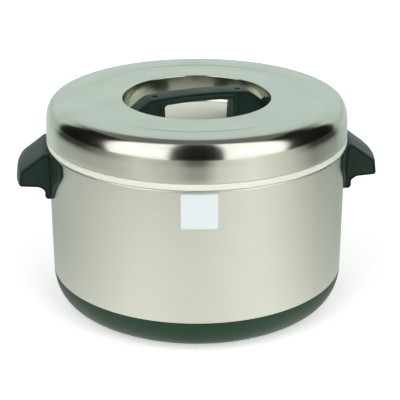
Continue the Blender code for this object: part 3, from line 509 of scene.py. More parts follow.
def drawn_in(corners: np.ndarray, radii: np.ndarray, distance: np.ndarray,
             least: float = 0.15 * MM) -> tuple[np.ndarray, np.ndarray]:
    """Move the sides of outlines inwards before rounding, so that each arc keeps its centre.

    A corner moves d / sin(h) along the inward normal of its chord, where h is half its angle. Its radius
    shrinks by d where the corner is convex and grows by d where it is hollow.

    Args:
        corners: (rows, n, 2) corner points, anticlockwise.
        radii: n radii.
        distance: how far each row moves.
        least: the smallest radius that is left.

    Returns:
        The moved corners and a row of radii for each outline.
    """
    a = unit(np.roll(corners, 1, axis=-2) - corners)
    b = unit(np.roll(corners, -1, axis=-2) - corners)
    inward = quarter_turned(unit(b - a))
    bend = np.sign(b[..., 0] * a[..., 1] - b[..., 1] * a[..., 0])
    moved = corners + inward * (distance[:, None] / np.sin(half_angle(a, b)))[..., None]
    return moved, np.maximum(np.asarray(radii) - bend * distance[:, None], least)


def grid_faces(rows: int, columns: int, wrap: bool) -> np.ndarray:
    """Quads between the points of a grid stored row by row.

    Args:
        rows: number of rows.
        columns: number of columns.
        wrap: whether the last column joins the first.

    Returns:
        (faces, 4) point numbers.
    """
    row = np.arange(rows - 1)[:, None] * columns
    column = np.arange(columns if wrap else columns - 1)[None, :]
    following = (column + 1) % columns
    return np.stack([row + column, row + following, row + columns + following, row + columns + column],
                    axis=-1).reshape(-1, 4)


def mesh_from(name: str, points: np.ndarray, quads: np.ndarray, caps: Sequence[np.ndarray] = (),
              uv: np.ndarray | None = None) -> bpy.types.Mesh:
    """A mesh from arrays of points and quads, with flat end caps and a UV map in millimetres.

    Args:
        name: the mesh's name.
        points: (n, 3) points.
        quads: (m, 4) point numbers.
        caps: point numbers of many-sided faces.
        uv: (m, 4, 2) corner coordinates of the quads.

    Returns:
        The mesh, shaded smooth, with merged poles and outward normals.
    """
    mesh = bpy.data.meshes.new(name)
    mesh.from_pydata(points.reshape(-1, 3).tolist(), [], quads.tolist() + [cap.tolist() for cap in caps])
    layer = mesh.uv_layers.new(name=UV_MAP)
    if uv is not None:
        flat = np.zeros(len(mesh.loops) * 2, np.float32)
        flat[:uv.size] = uv.reshape(-1)
        layer.data.foreach_set("uv", flat)
    bm = bmesh.new()
    bm.from_mesh(mesh)
    bmesh.ops.remove_doubles(bm, verts=bm.verts, dist=WELD_DISTANCE)
    bmesh.ops.recalc_face_normals(bm, faces=bm.faces)
    bm.to_mesh(mesh)
    bm.free()
    mesh.shade_smooth()
    mesh.set_sharp_from_angle(angle=SMOOTH_ANGLE)
    return mesh


def revolved(name: str, profile: np.ndarray, segments: int = 192, closed: bool = False) -> bpy.types.Mesh:
    """Turn a profile of (radius, height) about Z: point = (r cos u, r sin u, z).

    The UV map gives the way round at the widest radius and the way along the profile, in millimetres.

    Args:
        name: the mesh's name.
        profile: (n, 2) points; an open profile ends on the axis.
        segments: steps round the axis.
        closed: whether the profile's end joins its start.

    Returns:
        The turned mesh.
    """
    line = np.vstack([profile, profile[:1]]) if closed else profile
    angle = np.linspace(0.0, TAU, segments + 1)
    points = np.stack([line[:, None, 0] * np.cos(angle), line[:, None, 0] * np.sin(angle),
                       np.broadcast_to(line[:, None, 1], (len(line), segments + 1))], axis=-1)
    quads = grid_faces(len(line), segments + 1, wrap=False)
    along = np.concatenate([[0.0], np.cumsum(np.linalg.norm(np.diff(line, axis=0), axis=1))])
    around = angle * line[:, 0].max()
    chart = np.stack(np.broadcast_arrays(around[None, :], along[:, None]), axis=-1).reshape(-1, 2) / MM
    return mesh_from(name, points, quads, uv=chart[quads])


def lofted(name: str, loops: np.ndarray) -> bpy.types.Mesh:
    """A skin over closed loops of equal length, with a flat cap at both ends.

    Args:
        name: the mesh's name.
        loops: (rows, columns, 3) points.

    Returns:
        The closed mesh.
    """
    rows, columns = loops.shape[:2]
    quads = grid_faces(rows, columns, wrap=True)
    last = (rows - 1) * columns
    caps = [np.arange(columns)[::-1], last + np.arange(columns)]
    return mesh_from(name, loops, quads, caps)


def thick_line(path: np.ndarray, thickness: float) -> np.ndarray:
    """The closed profile of a wall: a path, and the path moved to its right by the wall's thickness.

    Args:
        path: (n, 2) points.
        thickness: the wall's thickness, to the right of the way along the path.

    Returns:
        (2 n, 2) points.
    """
    moved = path - quarter_turned(unit(np.gradient(path, axis=0))) * thickness
    moved[:, 0] = np.maximum(moved[:, 0], 0.0)
    return np.vstack([path, moved[::-1]])


def pan_profile(path: np.ndarray, thickness: float) -> np.ndarray:
    """The profile of a pan of sheet: a path out from the axis, and back to the axis on its other face.

    Args:
        path: (n, 2) radii and heights, from the axis out.
        thickness: the sheet's thickness, to the right of the way along the path.

    Returns:
        (2 n, 2) points.
    """
    profile = thick_line(path, thickness)
    profile[-1, 0] = 0.0
    return profile


def solid(name: str, mesh: bpy.types.Mesh) -> bpy.types.Object:
    """An object for a mesh, linked to the scene.

    Args:
        name: the object's name.
        mesh: its mesh.

    Returns:
        The object.
    """
    made = bpy.data.objects.new(name, mesh)
    bpy.context.scene.collection.objects.link(made)
    return made


def carved(target: bpy.types.Object, steps: Sequence[tuple[str, bpy.types.Object]]) -> bpy.types.Object:
    """Join, cut or trim a solid with others, apply the result and remove the tools.

    Args:
        target: the solid that is changed.
        steps: (UNION, DIFFERENCE or INTERSECT, tool) pairs in order.

    Returns:
        The changed solid.
    """
    for operation, other in steps:
        modifier = target.modifiers.new(other.name, "BOOLEAN")
        modifier.operation = operation
        modifier.object = other
        modifier.solver = "EXACT"
    graph = bpy.context.evaluated_depsgraph_get()
    mesh = bpy.data.meshes.new_from_object(target.evaluated_get(graph))
    target.modifiers.clear()
    target.data = mesh
    for _, other in steps:
        bpy.data.objects.remove(other, do_unlink=True)
    mesh.shade_smooth()
    mesh.set_sharp_from_angle(angle=CARVED_ANGLE)
    return target


def turned_copy(mesh: bpy.types.Mesh, matrix: Matrix) -> bpy.types.Mesh:
    """A copy of a mesh with a placement worked into its points.

    Args:
        mesh: the mesh.
        matrix: the placement.

    Returns:
        The placed copy.
    """
    copy = mesh.copy()
    copy.transform(matrix)
    return copy


def bar_between(name: str, radius: float, start: Sequence[float], end: Sequence[float],
                segments: int = 32) -> bpy.types.Object:
    """A round bar from one point to another, as a tool.

    Args:
        name: the object's name.
        radius: the bar's radius.
        start: its first end's centre.
        end: its other end's centre.
        segments: steps round it.

    Returns:
        The bar.
    """
    way = Vector(end) - Vector(start)
    profile = np.array([(0.0, 0.0), (radius, 0.0), (radius, way.length), (0.0, way.length)])
    mesh = revolved(name, profile, segments)
    mesh.transform(Matrix.Translation(start) @ way.to_track_quat("Z", "Y").to_matrix().to_4x4())
    return solid(name, mesh)


@dataclass
class Workshop:
    """Dresses finished meshes as pieces of the part and reports them."""

    materials: dict[Slot, bpy.types.Material]
    count: int = 0

    def dress(self, piece: bpy.types.Object, slot: Slot, assembly: Assembly,
              nodes: Sequence[str] = ()) -> bpy.types.Object:
        """Give a piece its finish and body, and hide the nodes that it stands for.

        Args:
            piece: the finished object.
            slot: its finish.
            assembly: the body that it rides on.
            nodes: the nodes that it replaces.

        Returns:
            The piece.
        """
        piece.data.materials.clear()
        piece.data.materials.append(self.materials[slot])
        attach(piece, assembly.value)
        if nodes:
            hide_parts(*nodes)
        self.count += 1
        LOG.info("%s: %d faces, %s", piece.name, len(piece.data.polygons), slot.value)
        return piece

    def turned(self, name: str, profile: np.ndarray, segments: int, slot: Slot, assembly: Assembly,
               node: str, closed: bool = False) -> bpy.types.Object:
        """Turn a profile about Z and dress it as the piece of one node.

        Args:
            name: the piece's name.
            profile: (n, 2) radii and heights.
            segments: steps round the axis.
            slot: its finish.
            assembly: the body that it rides on.
            node: the node that it replaces.
            closed: whether the profile's end joins its start.

        Returns:
            The piece.
        """
        return self.dress(solid(name, revolved(name, profile, segments, closed)), slot, assembly, [node])

    def keep(self, slot: Slot, *nodes: str) -> None:
        """Give nodes of the frame that stay their finish.

        Args:
            slot: the finish.
            nodes: the nodes' names.
        """
        for node in nodes:
            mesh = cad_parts[node].data
            mesh.materials.clear()
            mesh.materials.append(self.materials[slot])
            LOG.info("%s: kept, %s", node, slot.value)


# The lid

@dataclass
class LidPan:
    """The lid's cover, liner and gasket."""

    shop: Workshop
    radius: float = field(default_factory=lambda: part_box("lid_cover")[1].x)
    bottom: float = field(default_factory=lambda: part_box("lid_cover")[0].z)
    sheet: float = 0.8 * MM
    skirt: float = 11.0 * MM
    skirt_drop: float = 1.2 * MM
    skirt_flare: float = 0.6 * MM
    flare_height: float = 14.0 * MM
    shoulder_width: float = 30.8 * MM
    shoulder_rise: float = 37.2 * MM
    shoulder_power: float = 3.3
    dish_radius: float = 132.0 * MM
    crease_radius: float = 147.6 * MM
    crease_depth: float = 0.28 * MM
    crease_width: float = 2.0 * MM
    well_radius: float = 98.6 * MM
    well_depth: float = 36.7 * MM
    well_draft: float = 1.8 * MM
    well_fillet: float = 6.0 * MM
    well_lip: float = 1.1 * MM
    lip_drop: float = 2.2 * MM
    hem: float = 0.5 * MM
    liner_corner: float = 8.0 * MM
    liner_flange_corner: float = 1.2 * MM
    liner_play: float = 1.9 * MM
    gasket_width: float = 1.6 * MM
    gasket_end: float = 0.7 * MM
    gasket_web: float = 0.8 * MM
    gasket_lip_low: float = 2.6 * MM
    gasket_lip_high: float = 1.2 * MM
    gasket_hollow: tuple[float, float] = (-0.4 * MM, 0.2 * MM)  # of the web, from the gasket's middle
    gasket_radii_mm: tuple[float, ...] = (0.2, 0.3, 0.3, 0.3, 0.3, 0.3, 0.3, 0.2)
    arc_steps: int = 16
    top_steps: int = 90
    shoulder_steps: int = 72
    skirt_steps: int = 11
    hem_steps: int = 6

    def shoulder_top(self) -> float:
        """Height at which the shoulder meets the lid's top."""
        return self.bottom + self.skirt + self.shoulder_rise

    def lip_top(self) -> float:
        """Height of the lip round the well."""
        return self.shoulder_top() - self.lip_drop

    def lip_radius(self) -> float:
        """Radius at which the well's lip meets the top, three times the lip's own radius further out."""
        return self.well_radius + 3.0 * self.well_lip

    def well_floor(self) -> float:
        """Height of the well's floor."""
        return self.lip_top() - self.well_depth

    def well_line(self) -> np.ndarray:
        """The well's profile from the axis out to the top of its lip, its two bends as arcs.

        Returns:
            (n, 2) radii and heights.
        """
        corners = np.array([
            (0.0, self.well_floor()),
            (self.well_radius - self.well_draft, self.well_floor()),
            (self.well_radius, self.lip_top()),
            (self.lip_radius(), self.lip_top()),
        ])
        return rounded(corners, (0.0, self.well_fillet, self.well_lip, 0.0), self.arc_steps, closed=False)

    def top_line(self) -> np.ndarray:
        """The top from the well's lip over the crease and the crown to the shoulder.

        A nearly flat dish rises to the crown as d (3 q^2 - 2 q^3), where q runs from 0 at the dish's
        radius to 1 at the shoulder, d being the lip's drop. The crease is a shallow bell-shaped groove.

        Returns:
            (n, 2) radii and heights.
        """
        shoulder = self.radius - self.shoulder_width
        r = np.linspace(self.lip_radius(), shoulder, self.top_steps)[:-1]
        q = np.clip((r - self.dish_radius) / (shoulder - self.dish_radius), 0.0, 1.0)
        rise = (self.shoulder_top() - self.lip_top()) * (3.0 * q ** 2 - 2.0 * q ** 3)
        groove = self.crease_depth * np.exp(-((r - self.crease_radius) / self.crease_width) ** 2)
        return np.stack([r, self.lip_top() + rise - groove], axis=1)

    def shoulder_line(self) -> np.ndarray:
        """The shoulder and the skirt, a superellipse quarter: (cos t)^(2/p) out and (sin t)^(2/p) up.

        The steps of t close up towards the skirt by the power 1.5. The skirt flares towards its edge: at
        the height h it is drawn in by a (1 - exp(-(h / b)^2)).

        Returns:
            (n, 2) radii and heights, ending in the hem's roll at the skirt's edge.
        """
        turn = np.linspace(1.0, 0.0, self.shoulder_steps) ** 1.5 * QUARTER
        out = np.cos(turn).clip(0.0, 1.0) ** (2.0 / self.shoulder_power)
        up = np.sin(turn) ** (2.0 / self.shoulder_power)
        inner = self.radius - self.shoulder_width
        curve = np.stack([inner + self.shoulder_width * out,
                          self.bottom + self.skirt + self.shoulder_rise * up], axis=1)
        low = self.bottom - self.skirt_drop
        down = np.linspace(1.0, 0.0, self.skirt_steps + 1)[1:] ** 2
        height = low + self.hem + (self.skirt + self.skirt_drop - self.hem) * down
        skirt = np.column_stack([np.full(self.skirt_steps, self.radius), height])
        turn = np.linspace(0.0, QUARTER, self.hem_steps + 1)[1:]
        roll = np.column_stack([self.radius - self.hem * (1.0 - np.cos(turn)),
                                low + self.hem * (1.0 - np.sin(turn))])
        line = np.vstack([curve, skirt, roll])
        line[:, 0] -= self.skirt_flare * (1.0 - np.exp(-((line[:, 1] - low) / self.flare_height) ** 2))
        return line

    def make_cover(self) -> None:
        """The polished cover as a closed sheet, whose inner face starts above the hem."""
        path = np.vstack([self.well_line()[:-self.arc_steps], self.top_line(), self.shoulder_line()])
        above_hem = path[:-(self.hem_steps + 1)]
        profile = np.vstack([path, pan_profile(above_hem, self.sheet)[len(above_hem):]])
        self.shop.turned("lid_cover_skin", profile, 256, Slot.POLISHED_STEEL, Assembly.LID, "lid_cover")

    def make_liner(self) -> None:
        """The lower pan: a flat floor, an upright spigot and a flange under the cover."""
        low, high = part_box("lid_liner")
        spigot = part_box("lid_gasket")[1].x - self.liner_play
        corners = np.array([(0.0, low.z), (spigot, low.z), (spigot, self.bottom), (high.x, self.bottom)])
        path = rounded(corners, (0.0, self.liner_corner, self.liner_flange_corner, 0.0), 12, closed=False)
        profile = pan_profile(path, -self.sheet)
        self.shop.turned("lid_liner_pan", profile, 192, Slot.SATIN_STEEL, Assembly.LID, "lid_liner")

    def make_gasket(self) -> None:
        """The silicone gasket: two wiping lips on a thin web, as one closed profile."""
        low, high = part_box("lid_gasket")
        outer = high.x
        inner = outer - self.gasket_width
        end = inner + self.gasket_end
        web = inner + self.gasket_web
        hollow_low, hollow_high = ((low.z + high.z) / 2 + place for place in self.gasket_hollow)
        corners = np.array([
            (inner, low.z), (end, low.z), (outer, low.z + self.gasket_lip_low), (web, hollow_low),
            (web, hollow_high), (outer, high.z - self.gasket_lip_high), (end, high.z), (inner, high.z),
        ])
        profile = rounded(corners, np.array(self.gasket_radii_mm) * MM, 5)
        self.shop.turned("lid_gasket_lips", profile, 192, Slot.SILICONE, Assembly.LID, "lid_gasket",
                         closed=True)

    def build(self) -> None:
        """Make the three turned pieces of the lid."""
        self.make_cover()
        self.make_liner()
        self.make_gasket()
        self.shop.keep(Slot.FOAM, "lid_insulation")


@dataclass(frozen=True)
class ScrewSize:
    """The sizes of one pan-head screw."""

    head_radius: float
    head_height: float
    length: float
    radius: float = 2.0 * MM

    def bore(self) -> float:
        """Radius of the hole that it passes through with play."""
        return self.radius + SEAT_GAP


@dataclass
class LidGrip:
    """The black bridge across the well, its screws and its hidden clamp."""

    shop: Workshop
    pan: LidPan
    turn: float = math.radians(12.8)
    rise: float = 4.2 * MM
    crown: float = 3.5 * MM
    half_width: float = 13.5 * MM
    half_top: float = 69.5 * MM
    thickness: float = 9.5 * MM
    cap: float = 2.1 * MM
    cap_edge: float = 1.1 * MM
    cap_chamfer: tuple[float, float] = (0.25 * MM, 0.5 * MM)  # inwards, and up from the cap's underside
    proud: float = 1.4 * MM
    groove: float = 0.7 * MM
    groove_drops: tuple[float, float, float] = (0.15 * MM, 0.8 * MM, 1.2 * MM)  # below the cap
    half_gap: float = 47.5 * MM
    end_slope: float = math.radians(38.0)
    end_blend: float = 5.0 * MM
    bend_reach: float = 8.0 * MM  # of the closer cross-sections, to each side of a bend
    station_step: float = 1.0 * MM
    waist: float = 1.3 * MM
    flare: float = 5.2 * MM
    neck_share: float = 1.0 / 6.0  # of the leg, over which the neck widens into it
    opening_corner: float = 4.5 * MM
    opening_crest: float = 60.0 * MM
    opening_crest_share: float = 0.45
    opening_foot: float = 1.0 * MM
    opening_roll: float = 0.4 * MM
    opening_mouth: float = 1.15  # of the roll, by which the cut is wider outside the face
    opening_arch: float = 1.5 * MM
    bead_width: float = 7.6 * MM
    bead_height: float = 2.2 * MM
    screw_place: float = 57.5 * MM
    screw_depth: float = 5.0 * MM
    head_radius: float = 3.4 * MM
    head_height: float = 2.2 * MM
    recess_play: float = 0.4 * MM

    def top(self) -> float:
        """Height of the grip's top at its shoulders."""
        return self.pan.lip_top() + self.rise

    def top_height(self, x: np.ndarray) -> np.ndarray:
        """The top's height along the grip: a shallow parabola, then two straight slopes, softly blended.

        The blend is a smooth minimum of the crown c(x) and the slope s(x):
        (c + s - sqrt((c - s)^2 + k^2)) / 2.

        Args:
            x: places along the grip.

        Returns:
            Heights.
        """
        crown = self.top() + self.crown * (1.0 - (x / self.half_top) ** 2)
        slope = self.top() - (np.abs(x) - self.half_top) * math.tan(self.end_slope)
        blend = self.end_blend * math.tan(self.end_slope) / 2
        return (crown + slope - np.sqrt((crown - slope) ** 2 + blend ** 2)) / 2

    def half_width_at(self, share: np.ndarray) -> np.ndarray:
        """Half the leg's width by share of its way down: a waist by a sine and a flare by a square."""
        neck = self.half_width - self.proud
        return neck - self.waist * np.sin(math.pi * share) + self.flare * share ** 2

    def share_down(self, z: np.ndarray) -> np.ndarray:
        """How far down from the cap to the well's floor a height lies, from 0 to 1."""
        under_cap = self.top() - self.cap
        return np.clip((under_cap - z) / (under_cap - self.pan.well_floor()), 0.0, 1.0)

    def stations(self) -> np.ndarray:
        """Places along the grip for its cross-sections, closer together at the two bends of the top.

        Returns:
            (n,) places, the same on both sides of the middle.
        """
        reach = self.pan.well_radius + OVERRUN
        bend, step = self.bend_reach, self.station_step
        inner = self.half_top - bend - step
        end = np.concatenate([np.linspace(-reach, -self.half_top - bend, 20),
                              np.linspace(-self.half_top - bend + step, -self.half_top + bend, 24)])
        return np.concatenate([end, np.linspace(-inner, inner, 60), -end[::-1]])

    def sections(self) -> np.ndarray:
        """Cross-sections of the solid bridge along the grip, from cap to well floor.

        Returns:
            (stations, points, 3) loops in the grip's own frame.
        """
        x = self.stations()
        half, edge = self.half_width, self.cap_edge
        neck = half - self.proud
        angle = np.linspace(0.0, QUARTER, 7)
        arc = np.column_stack([half - edge + edge * np.sin(angle), edge - edge * np.cos(angle)])
        inwards, up = self.cap_chamfer
        first, last, out = (self.cap + drop for drop in self.groove_drops)
        side = np.vstack([(0.0, 0.0), arc, (half, self.cap - up), (half - inwards, self.cap),
                          (neck - self.groove, first), (neck - self.groove, last), (neck, out)])
        upper_z = self.top_height(x)[:, None] - side[:, 1]
        upper_y = np.broadcast_to(side[:, 0], upper_z.shape)
        share = np.linspace(0.0, 1.0, 30)[1:]
        floor = self.pan.well_floor() - OVERRUN
        lower_z = upper_z[:, -1:] + (floor - upper_z[:, -1:]) * share
        blend = np.clip(share / self.neck_share, 0.0, 1.0)
        lower_y = neck * (1.0 - blend) + self.half_width_at(self.share_down(lower_z)) * blend
        side_y = np.concatenate([upper_y, lower_y], axis=1)
        side_z = np.concatenate([upper_z, lower_z], axis=1)
        loop_y = np.concatenate([side_y, -side_y[:, :0:-1]], axis=1)
        loop_z = np.concatenate([side_z, side_z[:, :0:-1]], axis=1)
        return np.stack([np.broadcast_to(x[:, None], loop_y.shape), loop_y, loop_z], axis=-1)

    def gap_outline(self) -> np.ndarray:
        """The outline of the tunnel under the bridge, with a low crest in its middle.

        Returns:
            (n, 2) places along the grip and heights.
        """
        low = self.pan.well_floor() - 3 * OVERRUN
        high = self.top() - self.thickness
        gap, middle = self.half_gap, self.opening_crest_share * self.half_gap
        crest = high + self.opening_arch
        corners = np.array([(-gap, low), (gap, low), (gap, high), (middle, crest), (-middle, crest),
                            (-gap, high)])
        foot, corner, bend = self.opening_foot, self.opening_corner, self.opening_crest
        return rounded(corners, (foot, foot, corner, bend, bend, corner), 14)

    def loops(self, grown: np.ndarray, depth: np.ndarray, side: float) -> np.ndarray:
        """Rows of the tunnel near one face: the outline grown, at a depth in from the leg's face.

        Args:
            grown: how far each row is moved outwards.
            depth: how far each row lies inside the face.
            side: 1 for one face and -1 for the other.

        Returns:
            (rows, n, 3) points.
        """
        outline = self.gap_outline()
        moved = inset(np.broadcast_to(outline, (len(grown), *outline.shape)), -grown)
        face = self.half_width_at(self.share_down(moved[..., 1]))
        return np.stack([moved[..., 0], side * (face - depth[:, None]), moved[..., 1]], axis=-1)

    def bead(self, side: float) -> bpy.types.Object:
        """The raised edge round the tunnel on one face: an ellipse carried along the outline.

        A point of the ellipse lies w (1 + cos t) / 2 outside the outline and h sin t above the face.

        Args:
            side: 1 for one face and -1 for the other.

        Returns:
            The closed bead.
        """
        turn = np.linspace(0.0, TAU, 25)
        grown = self.opening_roll + self.bead_width / 2 * (1.0 + np.cos(turn))
        loops = self.loops(grown, -self.bead_height * np.sin(turn), side)
        mesh = mesh_from(f"bead_tool_{side}", loops, grid_faces(len(turn), loops.shape[1], wrap=True))
        return solid(f"bead_tool_{side}", mesh)

    def opening(self) -> bpy.types.Object:
        """The tunnel under the bridge: a rounded outline that rolls outwards where it meets the faces.

        Returns:
            The closed tool that cuts it.
        """
        turn = QUARTER - np.linspace(0.0, QUARTER, 8)
        rows = self.opening_roll * np.concatenate([[self.opening_mouth], 1.0 - np.cos(turn)])
        depth = np.concatenate([[-OVERRUN], self.opening_roll * (1.0 - np.sin(turn))])
        front = self.loops(rows, depth, 1.0)
        rear = self.loops(rows, depth, -1.0)[::-1]
        return solid("grip_opening_tool", lofted("grip_opening_tool", np.concatenate([front, rear])))

    def well_room(self) -> bpy.types.Object:
        """The room inside the well, a seat's gap from its sheet and open upwards, which trims the bridge.

        Returns:
            The closed tool.
        """
        well = self.pan.well_line()[:-3 * self.pan.arc_steps // 2]
        room = thick_line(well, -SEAT_GAP)[len(well):][::-1]
        high = self.top() + OVERRUN
        room = np.vstack([[(0.0, room[0, 1])], room[room[:, 0] > 0.0], [(room[-1, 0], high), (0.0, high)]])
        return solid("well_room_tool", revolved("well_room_tool", room, 160))

    def make_bridge(self, size: ScrewSize) -> None:
        """The moulded bridge, trimmed to the well and opened for the fingers and the screws.

        Args:
            size: the screws' size.
        """
        low = self.pan.well_floor() - OVERRUN
        seat = self.top() - self.screw_depth
        high = self.top() + OVERRUN
        bridge = solid("lid_grip_bridge", lofted("lid_grip_bridge", self.sections()))
        steps = [("UNION", self.bead(1.0)), ("UNION", self.bead(-1.0)), ("INTERSECT", self.well_room()),
                 ("DIFFERENCE", self.opening())]
        bores = (("shank", size.bore(), low), ("recess", size.head_radius + self.recess_play, seat))
        for side in (-1, 1):
            x = side * self.screw_place
            for name, radius, start in bores:
                bore = bar_between(f"{name}_tool_{side}", radius, (x, 0.0, start), (x, 0.0, high))
                steps.append(("DIFFERENCE", bore))
        carved(bridge, steps)
        bridge.data.transform(Matrix.Rotation(self.turn, 4, "Z"))
        self.shop.dress(bridge, Slot.BLACK_PLASTIC, Assembly.LID, ["lid_grip"])

    def build(self) -> None:
        """Make the bridge and its screws, and dress the hidden clamp."""
        seat = self.top() - self.screw_depth + SEAT_GAP
        size = ScrewSize(self.head_radius, self.head_height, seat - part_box("lid_grip_screw_1")[0].z)
        self.make_bridge(size)
        screws = ScrewMaker(self.shop)
        turn = Matrix.Rotation(self.turn, 4, "Z")
        for number, side in enumerate((-1, 1), 1):
            place = turn @ Matrix.Translation((side * self.screw_place, 0.0, seat))
            screws.make(f"lid_grip_screw_{number}", size, place, Assembly.LID)
            self.shop.keep(Slot.PLATED_STEEL, f"lid_grip_washer_{number}", f"lid_grip_nut_{number}")
        self.shop.keep(Slot.PLATED_STEEL, "lid_grip_plate")


@dataclass
class ScrewMaker:
    """Pan-head screws with a cross recess and a rolled thread; shares are of the head or its height."""

    shop: Workshop
    thread_pitch: float = 0.8 * MM
    thread_depth: float = 0.12 * MM
    plain_tip: float = 1.2 * MM
    tip_share: float = 0.75
    head_chamfer: float = 0.15 * MM
    head_chamfer_share: float = 0.2
    rim_share: float = 0.35  # of the head's height, under its dome
    cross_reach_share: float = 0.62
    cross_half_share: float = 0.15
    cross_depth_share: float = 0.65
    cross_corner_share: float = 0.4

    def make(self, node: str, size: ScrewSize, place: Matrix, assembly: Assembly) -> None:
        """Make one screw, its head above the seat at height 0 and its shank below.

        The head's dome is a quarter ellipse; the thread is a saw wave along the shank.

        Args:
            node: the node that it replaces.
            size: its sizes.
            place: where the seat lies.
            assembly: the body that it rides on.
        """
        head, height, radius = size.head_radius, size.head_height, size.radius
        turn = np.linspace(QUARTER, 0.0, 12)
        rim = self.rim_share
        dome = np.column_stack([head * np.cos(turn), height * (rim + (1.0 - rim) * np.sin(turn))])
        dome[0, 0] = 0.0
        under = [(head, self.head_chamfer_share * height), (head - self.head_chamfer, 0.0), (radius, 0.0)]
        turns = np.arange(0.0, size.length - self.plain_tip, self.thread_pitch / 2)
        wave = radius - self.thread_depth * (np.arange(len(turns)) % 2)
        shank = np.column_stack([wave, -turns])[1:]
        tip = [(radius * self.tip_share, -size.length), (0.0, -size.length)]
        screw = solid(f"{node}_fine", revolved(f"{node}_fine", np.vstack([dome, under, shank, tip]), 40))
        reach, half = head * self.cross_reach_share, head * self.cross_half_share
        levels = (height * (1.0 - self.cross_depth_share), height + OVERRUN)
        steps = []
        for name, x, y in (("cross_a", reach, half), ("cross_b", half, reach)):
            outline = rounded(rectangle((-x, -y), (x, y)), [self.cross_corner_share * half] * 4, 4)
            cross = lofted(f"{node}_{name}", at_levels(outline, levels))
            steps.append(("DIFFERENCE", solid(cross.name, cross)))
        carved(screw, steps)
        screw.data.transform(place)
        self.shop.dress(screw, Slot.PLATED_STEEL, assembly, [node])


# The body

